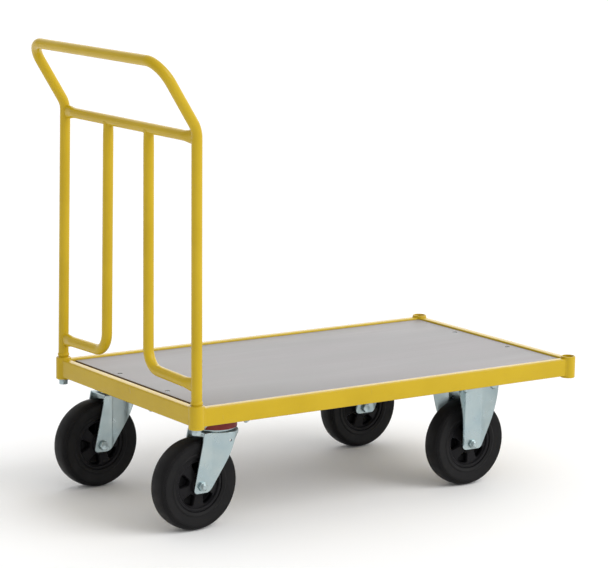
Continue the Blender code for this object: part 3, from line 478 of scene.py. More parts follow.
def joined(*parts):
    """One mesh out of several."""
    whole = bmesh.new()
    for part in parts:
        scratch = baked_mesh("scratch", part)
        whole.from_mesh(scratch)
        bpy.data.meshes.remove(scratch)
    return whole


def moved(mesh_bm, *matrices):
    for matrix in matrices:
        mesh_bm.transform(matrix)
    return mesh_bm


# ---------------------------------------------------------------- shapes

def sideways(along):
    """Level direction across a level direction."""
    return Vector((-along.y, along.x, 0))


def clamped(value):
    return min(max(value, 0.0), 1.0)


def between(start, end, share):
    return start + (end - start) * share


def on_circle(centre, size, angle):
    """Point of a flat circle at an angle."""
    return centre + size * Vector((math.cos(angle), math.sin(angle)))


def spaced(start, end, count):
    """Evenly spaced values from start to end, both included."""
    return [start + (end - start) * k / count for k in range(count + 1)]


def circle_angles(count):
    return [2 * math.pi * k / count for k in range(count)]


def smooth_direction(back, ahead):
    """Direction of a line at a point, from the steps before and after it."""
    return (ahead.normalized() + back.normalized()).normalized()


def add_ring(mesh_bm, points):
    return [mesh_bm.verts.new(point) for point in points]


def skin(mesh_bm, ring_a, ring_b):
    """Quads between two rings of the same count, or triangles to a single pole."""
    count = max(len(ring_a), len(ring_b))
    for i in range(count):
        j = (i + 1) % count
        corners = [ring_a[i % len(ring_a)], ring_a[j % len(ring_a)]]
        corners += [ring_b[j % len(ring_b)], ring_b[i % len(ring_b)]]
        mesh_bm.faces.new(list(dict.fromkeys(corners)))


def skin_rows(mesh_bm, rows):
    """Surface through rows of points, whose rings are returned."""
    rings = [add_ring(mesh_bm, row) for row in rows]
    for ring_a, ring_b in zip(rings, rings[1:]):
        skin(mesh_bm, ring_a, ring_b)
    return rings


def skinned(rows, closed=False):
    """Mesh through rows of points; the ends are capped unless the last row meets the first."""
    mesh_bm = bmesh.new()
    rings = skin_rows(mesh_bm, rows)
    if closed:
        skin(mesh_bm, rings[-1], rings[0])
    else:
        for ring in (rings[0], rings[-1]):
            if len(ring) > 2:
                mesh_bm.faces.new(ring)
    return mesh_bm


def filleted(points, radius, steps=4, closed=True):
    """Flat outline with an arc at each corner; radius is one size or one for each point."""
    corners = [Vector(point) for point in points]
    count = len(corners)
    radii = radius if isinstance(radius, (list, tuple)) else [radius] * count
    result = []
    for index, corner in enumerate(corners):
        back = corners[index - 1] - corner
        ahead = corners[(index + 1) % count] - corner
        at_end = not closed and index in (0, count - 1)
        if at_end or radii[index] == 0:
            result.append(corner)
            continue
        half = back.angle(ahead) / 2
        reach = min(radii[index] / math.tan(half), 0.49 * back.length, 0.49 * ahead.length)
        size = reach * math.tan(half)
        bisector = (back.normalized() + ahead.normalized()).normalized()
        centre = corner + bisector * (size / math.sin(half))
        start = corner + back.normalized() * reach - centre
        turn = math.pi - 2 * half
        turn *= -1 if back.x * ahead.y - back.y * ahead.x > 0 else 1
        first = math.atan2(start.y, start.x)
        for step in range(steps + 1):
            angle = first + turn * step / steps
            result.append(on_circle(centre, size, angle))
    return result


def hexagon_radius(half_flat, angle):
    sector = math.radians(60)
    return half_flat / math.cos((angle % sector) - sector / 2)


def turned(profile, segments, place=UPRIGHT):
    """Solid of revolution about local Z.

    Profile points are (radius, height), or (radius, height, half flat) where a hexagon cuts
    into the ring.  A profile that ends at radius 0 is capped by poles; others are closed loops.
    """
    rows = []
    for radius, height, *flat in profile:
        if radius == 0:
            rows.append([(0, 0, height)])
            continue
        row = []
        for angle in circle_angles(segments):
            reach = min(radius, hexagon_radius(flat[0], angle)) if flat else radius
            row.append((reach * math.cos(angle), reach * math.sin(angle), height))
        rows.append(row)
    return moved(skinned(rows, closed=profile[0][0] > 0), place)


def rod_profile(radius, low, high):
    return [(0, low), (radius, low), (radius, high), (0, high)]


def ring_profile(inner, outer, low, high):
    return [(inner, low), (outer, low), (outer, high), (inner, high)]


def hexagon_rows(half_flat, low, high):
    """Rows of a hexagon prism whose corners are chamfered at both faces."""
    base, tip = half_flat * 0.95, half_flat * 1.14
    chamfer = half_flat * 0.13
    steps = [(between(base, tip, share), chamfer * share) for share in (0.0, 0.35, 0.7, 1.0)]
    rows = [(reach, low + drop, half_flat) for reach, drop in steps]
    return rows + [(reach, high - drop, half_flat) for reach, drop in reversed(steps)]


def threaded(radius, low, high, pitch=0.00125):
    """Ridges of a screw thread as profile points, from low to high."""
    count = max(1, round(abs(high - low) / pitch))
    points = []
    for k in range(count):
        start = low + (high - low) * k / count
        points.append((radius, start))
        points.append((radius * 0.90, start + (high - low) * 0.5 / count))
    points.append((radius, high))
    return points


def rectangle(width, height, radius, steps=5):
    """Counter-clockwise rounded rectangle about the origin."""
    x, y = width / 2, height / 2
    return filleted([(x, -y), (x, y), (-x, y), (-x, -y)], radius, steps)


def top_plate(width, depth):
    """Flat mounting plate with rounded corners and softened edges."""
    low, high, edge = PLATE_BOTTOM, PLATE_TOP, PLATE_EDGE
    rows = []
    for inset, z in ((edge, low), (edge * 0.3, low + edge * 0.3), (0, low + edge),
                     (0, high - edge), (edge * 0.3, high - edge * 0.3), (edge, high)):
        outline = rectangle(width - 2 * inset, depth - 2 * inset, PLATE_CORNER - inset)
        rows.append([(x, y, z) for x, y in outline])
    return skinned(rows)


def tube_between(outer, inner):
    """Open-ended tube from rows of its outer and inner surfaces."""
    return skinned(outer + inner[::-1], closed=True)


def box_tube_rows(start, end, width, height, radius):
    """Rows of a rounded rectangular section along a level line; width is level, height is Z."""
    along = (end - start).normalized()
    across = sideways(along)
    outline = rectangle(width, height, radius)
    return [[point + across * u + Vector((0, 0, v)) for u, v in outline] for point in (start, end)]


def box_tube_walls(start, end, width, height, radius):
    """Rows of the outer and inner surfaces of a rectangular tube."""
    inside = (width - 2 * RAIL_WALL, height - 2 * RAIL_WALL, radius - RAIL_WALL / 2)
    return box_tube_rows(start, end, width, height, radius), box_tube_rows(start, end, *inside)


def rounded_path(corners, radii, steps):
    """Polyline through corners, with an arc of the given radius at each inner corner."""
    path = [corners[0]]
    for before, corner, after, radius in zip(corners, corners[1:], corners[2:], radii):
        if radius == 0:
            path.append(corner)
            continue
        back = (before - corner).normalized()
        ahead = (after - corner).normalized()
        half = back.angle(ahead) / 2
        centre = corner + (back + ahead).normalized() * (radius / math.sin(half))
        start = corner + back * (radius / math.tan(half)) - centre
        sweep = math.pi - 2 * half
        axis = start.cross(corner - centre).normalized()
        for step in range(steps + 1):
            path.append(centre + Matrix.Rotation(sweep * step / steps, 3, axis) @ start)
    path.append(corners[-1])
    return path


def swept_rows(path, sizes):
    """Rings along a path; sizes are (half size along X, half size across it)."""
    side = Vector((1, 0, 0))
    rows = []
    for index, point in enumerate(path):
        ahead = path[min(index + 1, len(path) - 1)] - point
        behind = point - path[max(index - 1, 0)]
        tangent = smooth_direction(behind, ahead)
        side = (side - tangent * side.dot(tangent)).normalized()
        across = tangent.cross(side)
        row = []
        for angle in circle_angles(TUBE_SEGMENTS):
            reach = side * (sizes[index][0] * math.cos(angle))
            row.append(point + reach + across * (sizes[index][1] * math.sin(angle)))
        rows.append(row)
    return rows


def swept_walls(path, sizes):
    """Rows of the outer and inner surfaces of a round tube."""
    inside = [(first - TUBE_WALL, second - TUBE_WALL) for first, second in sizes]
    return swept_rows(path, sizes), swept_rows(path, inside)


def weld_bead(points, radius, closed=True):
    """Rippled round bead along a line of points, tapered at both ends of an open line."""
    centre = sum(points, Vector()) / len(points)
    rows = []
    for index, point in enumerate(points):
        ahead = points[(index + 1) % len(points)] - point
        behind = point - points[index - 1]
        if not closed and index == 0:
            behind = ahead
        if not closed and index == len(points) - 1:
            ahead = behind
        tangent = smooth_direction(behind, ahead)
        side = point - centre
        side = (side - tangent * side.dot(tangent)).normalized()
        across = tangent.cross(side)
        ripple = 1 + 0.09 * math.sin(1.9 * index) + 0.07 * math.sin(0.53 * index + 1.3)
        taper = 1.0
        if not closed:
            taper = math.sin(math.pi * (index + 0.7) / (len(points) + 0.4)) ** 0.35
        size = radius * ripple * taper
        rows.append([point + (side * math.cos(angle) + across * math.sin(angle)) * size
                     for angle in circle_angles(BEAD_SEGMENTS)])
    return skinned(rows, closed)


def resampled(points, spacing):
    """Evenly spaced points along a closed line."""
    loop = points + [points[0]]
    lengths = [(b - a).length for a, b in zip(loop, loop[1:])]
    count = max(12, round(sum(lengths) / spacing))
    step = sum(lengths) / count
    result = []
    index, passed = 0, 0.0
    for k in range(count):
        while passed + lengths[index] < k * step - 1e-9 and index < len(lengths) - 1:
            passed += lengths[index]
            index += 1
        share = (k * step - passed) / max(lengths[index], 1e-9)
        result.append(loop[index].lerp(loop[index + 1], share))
    return result


def weld_round(row):
    """Bead round the end of a tube."""
    return weld_bead(resampled(row, BEAD_SPACING), BEAD_SMALL)


def add_welds(node, welds):
    new_piece(node + "_welds", joined(*welds), "frame_paint", PLATFORM)


def closed_shell(outer, inner, faces):
    """Closed wall between two matching lists of points; faces index into both."""
    mesh_bm = bmesh.new()
    front = add_ring(mesh_bm, outer)
    back = add_ring(mesh_bm, inner)
    open_edges = {}
    for face in faces:
        mesh_bm.faces.new([front[i] for i in face])
        mesh_bm.faces.new([back[i] for i in reversed(face)])
        for pair in zip(face, face[1:] + face[:1]):
            key = frozenset(pair)
            if key in open_edges:
                del open_edges[key]
            else:
                open_edges[key] = pair
    for a, b in open_edges.values():
        mesh_bm.faces.new((front[b], front[a], back[a], back[b]))
    return mesh_bm


def grid_faces(columns, rows, wanted=lambda row, column: True):
    """Quads of a grid of points, where they are wanted."""
    faces = []
    for i in range(rows - 1):
        for k in range(columns - 1):
            if wanted(i, k):
                low = i * columns + k
                faces.append((low, low + 1, low + columns + 1, low + columns))
    return faces


# ---------------------------------------------------------------- frame

def socket_axes():
    for end, x in (("handle", REAR_X), ("front", FRONT_X)):
        for side, sign in SIDES.items():
            yield end, side, Vector((x, sign * AXIS_Y, 0))


def make_sockets():
    corners = ring_profile(SOCKET_BORE, SOCKET_RADIUS, SOCKET_LOW.z, SOCKET_HIGH.z)
    profile = filleted(corners, [0.0005, SOCKET_EDGE, SOCKET_EDGE, 0.0005], 5)
    for end, side, axis in socket_axes():
        stand_in(f"corner_socket_{end}_{side}",
                 turned(profile, 72, Matrix.Translation(axis)), "frame_paint")


def coped_to_socket(row, axis, along):
    """Rail end moved on to the socket's round face."""
    across = sideways(along)
    reach = SOCKET_RADIUS - FIT
    moved_row = []
    for point in row:
        offset = (point - axis).dot(across)
        spot = axis + along * math.sqrt(reach ** 2 - offset ** 2) + across * offset
        moved_row.append(Vector((spot.x, spot.y, point.z)))
    return moved_row


def corner_fillet(axis, along, hand):
    """Soft vertical fillet between a socket and one side face of a rail."""
    across = sideways(along) * hand
    half = RAIL_WIDTH / 2
    rows = []
    steps = 14
    for level in range(steps + 1):
        share = 2 * level / steps - 1
        size = FILLET_RADIUS * (1 - 0.55 * abs(share) ** 7)
        distance = math.sqrt((SOCKET_RADIUS + size) ** 2 - (half + size) ** 2)
        centre = Vector((distance, half + size))
        first = math.atan2(-centre.y, -centre.x)
        last = math.radians(-90)
        outline = [on_circle(centre, size, angle) for angle in spaced(first, last, 8)]
        outline.append(Vector((distance, half - FILLET_SINK)))
        outline.append(outline[0] * (1 - FILLET_SINK / SOCKET_RADIUS) - Vector((0, FILLET_SINK)))
        z = RAIL_MID + share * (RAIL_HEIGHT / 2 - RAIL_CORNER * 0.6)
        rows.append([axis + along * p.x + across * p.y + Vector((0, 0, z)) for p in outline])
    return skinned(rows)


def make_rail(node, start, end):
    """Rectangular tube between two sockets, coped to them, with its welds."""
    along = (end - start).normalized()
    mid = Vector((0, 0, RAIL_MID))
    outer, inner = box_tube_walls(start + mid, end + mid, RAIL_WIDTH, RAIL_HEIGHT, RAIL_CORNER)
    for rows in (outer, inner):
        rows[0] = coped_to_socket(rows[0], start, along)
        rows[1] = coped_to_socket(rows[1], end, -along)
    rail = stand_in(node, tube_between(outer, inner), "frame_paint")
    welds = []
    for row, axis, heading in ((outer[0], start, along), (outer[1], end, -along)):
        welds.append(weld_round(row))
        for hand in (-1, 1):
            welds.append(corner_fillet(axis, heading, hand))
    add_welds(node, welds)
    return rail


def make_rails():
    for side, sign in SIDES.items():
        make_rail(f"side_rail_{side}", Vector((REAR_X, sign * AXIS_Y, 0)),
                  Vector((FRONT_X, sign * AXIS_Y, 0)))
    for end, x in (("handle", REAR_X), ("front", FRONT_X)):
        rail = make_rail(f"end_rail_{end}", Vector((x, -AXIS_Y, 0)), Vector((x, AXIS_Y, 0)))
        if end == "handle":
            make_rivets(rail)


def make_rivets(rail):
    """Domed rivets in the underside of the handle-end rail."""
    shank = ((RIVET_SHANK, -GAP), (RIVET_SHANK, RIVET_LENGTH), (0, RIVET_LENGTH))
    dome = filleted(RIVET_HEAD + shank, 0.0012, 4, closed=False)
    hole = rod_profile(RIVET_SHANK + GAP, -0.001, RIVET_LENGTH + 0.001)
    for side in SIDES:
        node = f"end_rail_rivet_{side}"
        place = upright_at(centre_of(node), RAIL_BOTTOM)
        stand_in(node, turned(dome, 32, place))
        drill(rail, f"rivet_hole_{side}", turned(hole, 24, place))


def make_cross_tubes():
    """Five tubes under the board, with short welds where they meet the side rails."""
    for number in range(1, 6):
        node = f"cross_tube_{number}"
        low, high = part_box(node)
        width, height = high.x - low.x, high.z - low.z
        middle = (low + high) / 2
        start = Vector((middle.x, low.y, middle.z))
        end = Vector((middle.x, high.y, middle.z))
        walls = box_tube_walls(start, end, width, height, CROSS_CORNER)
        tube = stand_in(node, tube_between(*walls), "frame_paint")
        welds = []
        for y in (low.y, high.y):
            for x in (low.x, high.x):
                line = [Vector((x, y, low.z + height * (0.12 + 0.76 * k / 12))) for k in range(13)]
                welds.append(weld_bead(line, BEAD_LARGE, closed=False))
        add_welds(node, welds)
        for screw in screw_nodes():
            spot = centre_of(screw)
            if abs(spot.x - middle.x) < width / 2:
                drill(tube, f"{node}_{screw}_hole", screw_hole(spot))


# ---------------------------------------------------------------- deck

def screw_nodes():
    return [f"deck_screw_{number}" for number in range(1, 5)]


def screw_hole(spot):
    """Hole through the board and the tube wall below it, wider round the head."""
    bore = SCREW_RADIUS + BORE_CLEARANCE
    seat_bore = SCREW_HEAD_RADIUS + BORE_CLEARANCE
    seat = -SCREW_HEAD_HEIGHT - 2 * GAP
    above = 0.002
    profile = [(0, above), (seat_bore, above), (seat_bore, seat), (bore, seat),
               (bore, SCREW_HOLE_LOW), (0, SCREW_HOLE_LOW)]
    return turned(profile, 40, upright_at(spot, BOARD_HIGH.z))


def board_outline(inset):
    """Rectangle inside the rails, with round notches for the two front sockets."""
    rear, front = BOARD_LOW.x + inset, BOARD_HIGH.x - inset
    half = BOARD_HIGH.y - inset
    notch = BOARD_NOTCH + inset
    last = math.acos((FRONT_X - front) / notch)
    first = math.asin((AXIS_Y - half) / notch)
    upper = [(FRONT_X - notch * math.cos(angle), AXIS_Y - notch * math.sin(angle))
             for angle in spaced(first, last, 12)]
    lower = [(x, -y) for x, y in upper]
    return [(rear, -half)] + lower + upper[::-1] + [(rear, half)]


def make_board():
    low, high = BOARD_LOW.z, BOARD_HIGH.z
    rows = []
    for inset, z in ((BOARD_EDGE, low), (0, low + BOARD_EDGE), (0, high - BOARD_EDGE),
                     (BOARD_EDGE * 0.3, high - BOARD_EDGE * 0.3), (BOARD_EDGE, high)):
        rows.append([(x, y, z) for x, y in board_outline(inset)])
    board = stand_in("deck_board", skinned(rows), "deck_board")
    for screw in screw_nodes():
        drill(board, f"board_{screw}_hole", screw_hole(centre_of(screw)))


def make_screws():
    """Low round-headed screws with a hexagon socket, sunk into the board."""
    top, floor = SCREW_HEAD_HEIGHT, SCREW_HEAD_HEIGHT - SCREW_SOCKET_DEPTH
    socket = SCREW_SOCKET * 1.13
    profile = [(0, floor - 0.0003), (SCREW_SOCKET * 0.9, floor), (socket, floor, SCREW_SOCKET),
               (socket, top - 0.0003, SCREW_SOCKET), (SCREW_SOCKET * 1.3, top)]
    rim, steep = 0.0004, math.radians(66)
    for step in range(9):
        angle = steep * (1 - step / 8)
        height = rim + (top - rim) * math.sin(angle) / math.sin(steep)
        profile.append((SCREW_HEAD_RADIUS * math.cos(angle), height))
    profile += [(SCREW_HEAD_RADIUS, 0), (SCREW_RADIUS, 0)]
    profile += threaded(SCREW_RADIUS, *SCREW_THREAD) + [(0, SCREW_TIP)]
    head_low = BOARD_HIGH.z - GAP - SCREW_HEAD_HEIGHT
    for screw in screw_nodes():
        stand_in(screw, turned(profile, 48, upright_at(centre_of(screw), head_low)))


# ---------------------------------------------------------------- push handle

def leg_axis_y(z):
    """Half distance between the handle legs' axes at a height."""
    return between(AXIS_Y, BEND_HALF_WIDTH, clamped((z - LEAN_START) / (BEND_HEIGHT - LEAN_START)))


def foot_rows():
    """Heights and radii of a leg foot: plug in the socket, dark seam, bead and plain tube."""
    top = SOCKET_HIGH.z
    rows = [(SOCKET_LOW.z + 0.003, PLUG_RADIUS), (top - 0.0012, PLUG_RADIUS),
            (top - 0.0004, PLUG_RADIUS - 0.0006), (top + 0.0006, SEAM_RADIUS),
            (top + 0.0022, SEAM_RADIUS)]
    middle = top + 0.0026 + FOOT_BEAD_HALF
    for step in range(9):
        angle = math.radians(-80 + 170 * step / 8)
        flat = TUBE_RADIUS if angle > 0 else SEAM_RADIUS
        reach = between(flat, FOOT_BEAD_RADIUS, math.cos(angle))
        rows.append((middle + FOOT_BEAD_HALF * math.sin(angle), reach))
    rows.append((middle + FOOT_BEAD_HALF + 0.0012, TUBE_RADIUS))
    return rows


def across_middle(points):
    """The same points on the other side of the trolley, in reverse order."""
    return [Vector((point.x, -point.y, point.z)) for point in reversed(points)]


def make_handle_loop():
    """One bent tube: two legs, two lower bends, and the sloping grip at the top."""
    top_x = REAR_X - GRIP_SLOPE * math.sin(GRIP_TILT)
    top_z = BEND_HEIGHT + GRIP_SLOPE * math.cos(GRIP_TILT)
    right = [Vector((REAR_X, -AXIS_Y, LEAN_START - 0.001)), Vector((REAR_X, -AXIS_Y, LEAN_START)),
             Vector((REAR_X, -BEND_HALF_WIDTH, BEND_HEIGHT)),
             Vector((top_x, -TOP_HALF_WIDTH, top_z))]
    corners = right + across_middle(right)
    radii = [0, BEND_RADIUS, CORNER_RADIUS, CORNER_RADIUS, BEND_RADIUS, 0]
    steps = 26
    body = rounded_path(corners, radii, steps)[1:-1]
    sizes = [(TUBE_RADIUS, TUBE_RADIUS)]
    for _ in range(4):
        for step in range(steps + 1):
            squeeze = 1 - BEND_SQUEEZE * math.sin(math.pi * step / steps) ** 2
            sizes.append((TUBE_RADIUS * squeeze, TUBE_RADIUS * squeeze))
    sizes.append((TUBE_RADIUS, TUBE_RADIUS))
    feet = foot_rows()
    foot_path = [Vector((REAR_X, -AXIS_Y, z)) for z, _ in feet]
    foot_sizes = [(radius, radius) for _, radius in feet]
    path = foot_path + body + across_middle(foot_path)
    outer = swept_rows(path, foot_sizes + sizes + foot_sizes[::-1])
    inner = swept_walls(path, [(TUBE_RADIUS, TUBE_RADIUS)] * len(path))[1]
    stand_in("handle_loop", tube_between(outer, inner), "frame_paint")


def flattened(share):
    """Half depth and half height of a tube that is pressed flat; share 0 is round."""
    press = min(share * FLAT_LENGTH / (FLAT_LENGTH - FLAT_RUN), 1.0)
    press = press * press * (3 - 2 * press)
    return (between(TUBE_RADIUS, FLAT_HALF_DEPTH, press),
            between(TUBE_RADIUS, FLAT_HALF_HEIGHT, press))


def tube_face(offset):
    """Distance from a tube's axis to its face, at a sideways offset."""
    reach = TUBE_RADIUS - FIT
    return math.sqrt(reach ** 2 - min(abs(offset), reach) ** 2)


def coped_to_leg(row, sign):
    """Tube end moved on to the round face of a handle leg."""
    return [Vector((p.x, sign * (leg_axis_y(p.z) - tube_face(p.x - REAR_X)), p.z)) for p in row]


def make_crossbar():
    """Level tube between the legs, pressed flat and upright where it is welded on."""
    steps = 16
    half = [(BEND_HALF_WIDTH - FLAT_LENGTH * k / steps, flattened(1 - k / steps))
            for k in range(steps + 1)]
    stations = [(-y, size) for y, size in half] + half[::-1]
    path = [Vector((REAR_X, y, CROSSBAR_HEIGHT)) for y, _ in stations]
    outer, inner = swept_walls(path, [size for _, size in stations])
    for rows in (outer, inner):
        rows[0] = coped_to_leg(rows[0], -1)
        rows[-1] = coped_to_leg(rows[-1], 1)
    stand_in("handle_crossbar", tube_between(outer, inner), "frame_paint")
    add_welds("handle_crossbar", [weld_round(row) for row in (outer[0], outer[-1])])


def coped_to_crossbar(row):
    """Upright tube end moved up on to the underside of the crossbar."""
    widest = 0.98 * (TUBE_RADIUS - FIT)
    offsets = [min(abs(point.x - REAR_X), widest) for point in row]
    return [Vector((p.x, p.y, CROSSBAR_HEIGHT - tube_face(off))) for p, off in zip(row, offsets)]


def wrinkled(rows, path, spot, inward):
    """Small ridge that bending has pushed up on the inner side of a tube at a spot."""
    for row, middle in zip(rows, path):
        along = (middle - spot).length / WRINKLE_WIDTH
        for index, point in enumerate(row):
            outward = (point - middle).normalized()
            facing = max(0.0, outward.dot(inward))
            row[index] = point + outward * (WRINKLE_HEIGHT * math.exp(-along * along) * facing ** 3)


def make_brace(side, sign):
    """J-shaped tube from the crossbar down and outwards to a leg, flat at its foot."""
    top = Vector((REAR_X, sign * BRACE_TOP_Y, CROSSBAR_HEIGHT - TUBE_RADIUS))
    elbow = Vector((REAR_X, sign * BRACE_LOW_Y, BRACE_ARM_HEIGHT))
    foot = Vector((REAR_X, sign * leg_axis_y(BRACE_FOOT_HEIGHT), BRACE_FOOT_HEIGHT))
    arm = (foot - elbow).normalized()
    bend_steps = 28
    bend = rounded_path([top, elbow, foot], [BRACE_BEND], bend_steps)[1:-1]
    upright = [top.lerp(bend[0], share) for share in (0, 0.01, 0.02, 0.035, 0.05)]
    flat_start = foot - arm * FLAT_LENGTH
    run = [bend[-1].lerp(flat_start, k / 8) for k in range(1, 8)]
    flat_steps = 16
    flat = [flat_start.lerp(foot, k / flat_steps) for k in range(flat_steps + 1)]
    path = upright + bend + run + flat
    squash = [(1 - 0.07 * share, 1 + 0.05 * share) for share in (1, 0.9, 0.65, 0.3, 0)]
    sizes = [(TUBE_RADIUS * deep, TUBE_RADIUS * wide) for deep, wide in squash]
    for step in range(bend_steps + 1):
        squeeze = BEND_SQUEEZE * math.sin(math.pi * step / bend_steps) ** 2
        sizes.append((TUBE_RADIUS * (1 + squeeze), TUBE_RADIUS * (1 - 1.6 * squeeze)))
    sizes += [(TUBE_RADIUS, TUBE_RADIUS)] * len(run)
    sizes += [flattened(k / flat_steps) for k in range(flat_steps + 1)]
    outer, inner = swept_walls(path, sizes)
    inward = (bend[0] - bend[bend_steps // 2] + bend[-1] - bend[bend_steps // 2]).normalized()
    wrinkled(outer, path, bend[-2], inward)
    for rows in (outer, inner):
        rows[0] = coped_to_crossbar(rows[0])
        rows[-1] = coped_to_leg(rows[-1], sign)
    stand_in(f"handle_brace_{side}", tube_between(outer, inner), "frame_paint")
    add_welds(f"handle_brace_{side}", [weld_round(row) for row in (outer[0], outer[-1])])


def make_handle_fixings():
    """Washer and hexagon bolt under each handle socket."""
    for side in SIDES:
        washer, bolt = f"handle_washer_{side}", f"handle_bolt_{side}"
        low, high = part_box(washer)
        axis = upright_at((low + high) / 2)
        ring = filleted(ring_profile(*FIXING_WASHER, low.z, high.z), 0.0005, 3)
        stand_in(washer, turned(ring, 64, axis))
        bottom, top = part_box(bolt)[0].z, low.z - GAP
        shank_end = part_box(bolt)[1].z
        head = [(0, bottom + 0.0008), (0.0045, bottom + 0.0006), (0.0068, bottom)]
        head += hexagon_rows(FIXING_HEX, bottom, top)
        head += [(AXLE_RADIUS, top), (AXLE_RADIUS, shank_end - 0.002), (0, shank_end)]
        stand_in(bolt, turned(head, 72, axis))


# ---------------------------------------------------------------- castor wheels

def tyre_mesh(place):
    lower = [(radius, -y) for radius, y in TYRE_HALF]
    profile = lower + [(radius, y) for radius, y in reversed(TYRE_HALF)]
    return turned(profile, TYRE_SEGMENTS, place)


def face_height(radius):
    """Height of the hub's sloping face above the wheel's middle plane."""
    share = (radius - FACE_INNER[0]) / (FACE_OUTER[0] - FACE_INNER[0])
    return between(FACE_INNER[1], FACE_OUTER[1], clamped(share))


def pocket_point(direction, shrink):
    """Radius and angle on the pocket's rim, or inside it by the distance shrink."""
    cosine, sine = math.cos(direction), math.sin(direction)
    power = POCKET_SQUARENESS
    reach = (abs(cosine) ** power + abs(sine) ** power) ** (-1 / power)
    middle = (POCKET_INNER + POCKET_OUTER) / 2
    half = (POCKET_OUTER - POCKET_INNER) / 2
    radius = middle + (half - shrink) * reach * cosine
    share = (reach * cosine + 1) / 2
    half_angle = between(POCKET_INNER_HALF, POCKET_OUTER_HALF, share)
    return radius, (half_angle - shrink / radius) * reach * sine


def sector_point(direction):
    """Radius and angle on the border of one fifth of the hub's face."""
    cosine, sine = math.cos(direction), math.sin(direction)
    stretch = 1 / max(abs(cosine), abs(sine))
    middle = (FACE_INNER[0] + FACE_OUTER[0]) / 2
    half = (FACE_OUTER[0] - FACE_INNER[0]) / 2
    sector = math.pi / POCKET_COUNT
    return middle + half * stretch * cosine, sector * stretch * sine


def sector_rows(count):
    """Rows of (radius, angle, height) from a sector's border down to its pocket's floor."""
    directions = circle_angles(count)
    rows = []
    for share in (0.0, 0.3, 0.6, 0.85, 1.0):
        row = []
        for direction in directions:
            border, rim = sector_point(direction), pocket_point(direction, 0.0)
            radius = between(border[0], rim[0], share)
            row.append((radius, between(border[1], rim[1], share), face_height(radius)))
        rows.append(row)
    lip, root = 0.0012, 0.0016
    quarter = [math.radians(angle) for angle in (30, 60, 90)]
    for angle in quarter:
        drop = lip * (1 - math.cos(angle))
        rows.append([(*pocket_point(d, drop * 0.8), face_height(pocket_point(d, 0.0)[0]) - drop)
                     for d in directions])
    wall = lip * 0.8 + 0.0009
    for angle in [0.0] + quarter:
        shrink = wall + root * (1 - math.cos(angle))
        height = POCKET_FLOOR + root * (1 - math.sin(angle))
        rows.append([(*pocket_point(d, shrink), height) for d in directions])
    return rows


def add_turned_strip(mesh_bm, profile, angles):
    """Surface of revolution with points at the given angles, open at both ends."""
    skin_rows(mesh_bm, [[(radius * math.cos(angle), radius * math.sin(angle), height)
                         for angle in angles] for radius, height in profile])


def hub_mesh(turn, place):
    """Moulded hub: boss, five pockets between spokes on each face, and rim."""
    count = 64
    rows = sector_rows(count)
    middles = [math.radians(turn + 360 * k / POCKET_COUNT) for k in range(POCKET_COUNT)]
    hub = bmesh.new()
    for hand in (-1, 1):
        for middle in middles:
            rings = skin_rows(hub, [[(radius * math.cos(middle + angle),
                                      radius * math.sin(middle + angle), hand * height)
                                     for radius, angle, height in row] for row in rows])
            hub.faces.new(rings[-1])
    border = sorted(angle for _, angle, _ in rows[0][:count // 8 + 1] + rows[0][-count // 8:])
    angles = [middle + angle for middle in middles for angle in border[:-1]]
    boss = filleted([(HUB_BORE, HUB_HALF_LENGTH), (BOSS_RADIUS, HUB_HALF_LENGTH), FACE_INNER],
                    0.0014, 4, closed=False)
    rim = filleted([FACE_OUTER, (RIM_INNER, HUB_RIM_FACE), (HUB_RADIUS, HUB_RIM_FACE),
                    (HUB_RADIUS, RIM_STEP)], [0, 0.0012, 0.0010, 0], 4, closed=False)
    for profile in (boss, rim):
        for hand in (-1, 1):
            add_turned_strip(hub, [(r, hand * h) for r, h in profile], angles)
    for radius, height in ((HUB_BORE, HUB_HALF_LENGTH), (HUB_RADIUS, RIM_STEP)):
        add_turned_strip(hub, [(radius, -height), (radius, height)], angles)
    return moved(hub, place)


def make_wheel(prefix, side, place):
    name = f"{prefix}_{side}"
    upright = place @ AXIS_TO_Y
    stand_in(f"{prefix}_tyre_{side}", tyre_mesh(upright), "tyre_rubber")
    stand_in(f"{prefix}_hub_{side}", hub_mesh(POCKET_TURN[name], upright), "hub_plastic")


def make_axle(prefix, side, place):
    """Axle bolt and its lock nut, on the outer faces of the fork."""
    face = FORK_HALF_WIDTH + GAP
    head, nut_end = face + AXLE_HEAD, face + AXLE_NUT
    collar_end, end = face + AXLE_COLLAR, face + AXLE_END
    upright = place @ AXIS_TO_Y @ Matrix.Diagonal((1, 1, SIDES[side], 1))
    bolt = [(0, -head + 0.0006), (0.0050, -head + 0.0006), (0.0060, -head)]
    bolt += hexagon_rows(AXLE_HEX, -head, -face)
    bolt += [(AXLE_RADIUS, -face), (AXLE_RADIUS, collar_end)]
    bolt += threaded(AXLE_RADIUS, collar_end + 0.0005, end - 0.0010, 0.00085)
    bolt += [(AXLE_RADIUS - 0.0010, end), (0, end)]
    stand_in(f"{prefix}_axle_{side}", turned(bolt, 72, upright))
    bore = AXLE_RADIUS + GAP
    collar = filleted([(0.0082, nut_end), (0.0079, collar_end), (bore, collar_end)],
                      0.0009, 4, closed=False)
    nut = [(bore, face), (0.0086, face)] + hexagon_rows(AXLE_HEX, face, nut_end)
    nut += [tuple(point) for point in collar]
    stand_in(f"{prefix}_nut_{side}", turned(nut, 72, upright))


# ---------------------------------------------------------------- castor forks and plates

def soft_ramp(distance, width):
    """Zero before a bend and the distance itself past it, with a smooth turn between."""
    if distance <= -width:
        return 0.0
    if distance >= width:
        return distance
    return (distance + width) ** 2 / (4 * width)


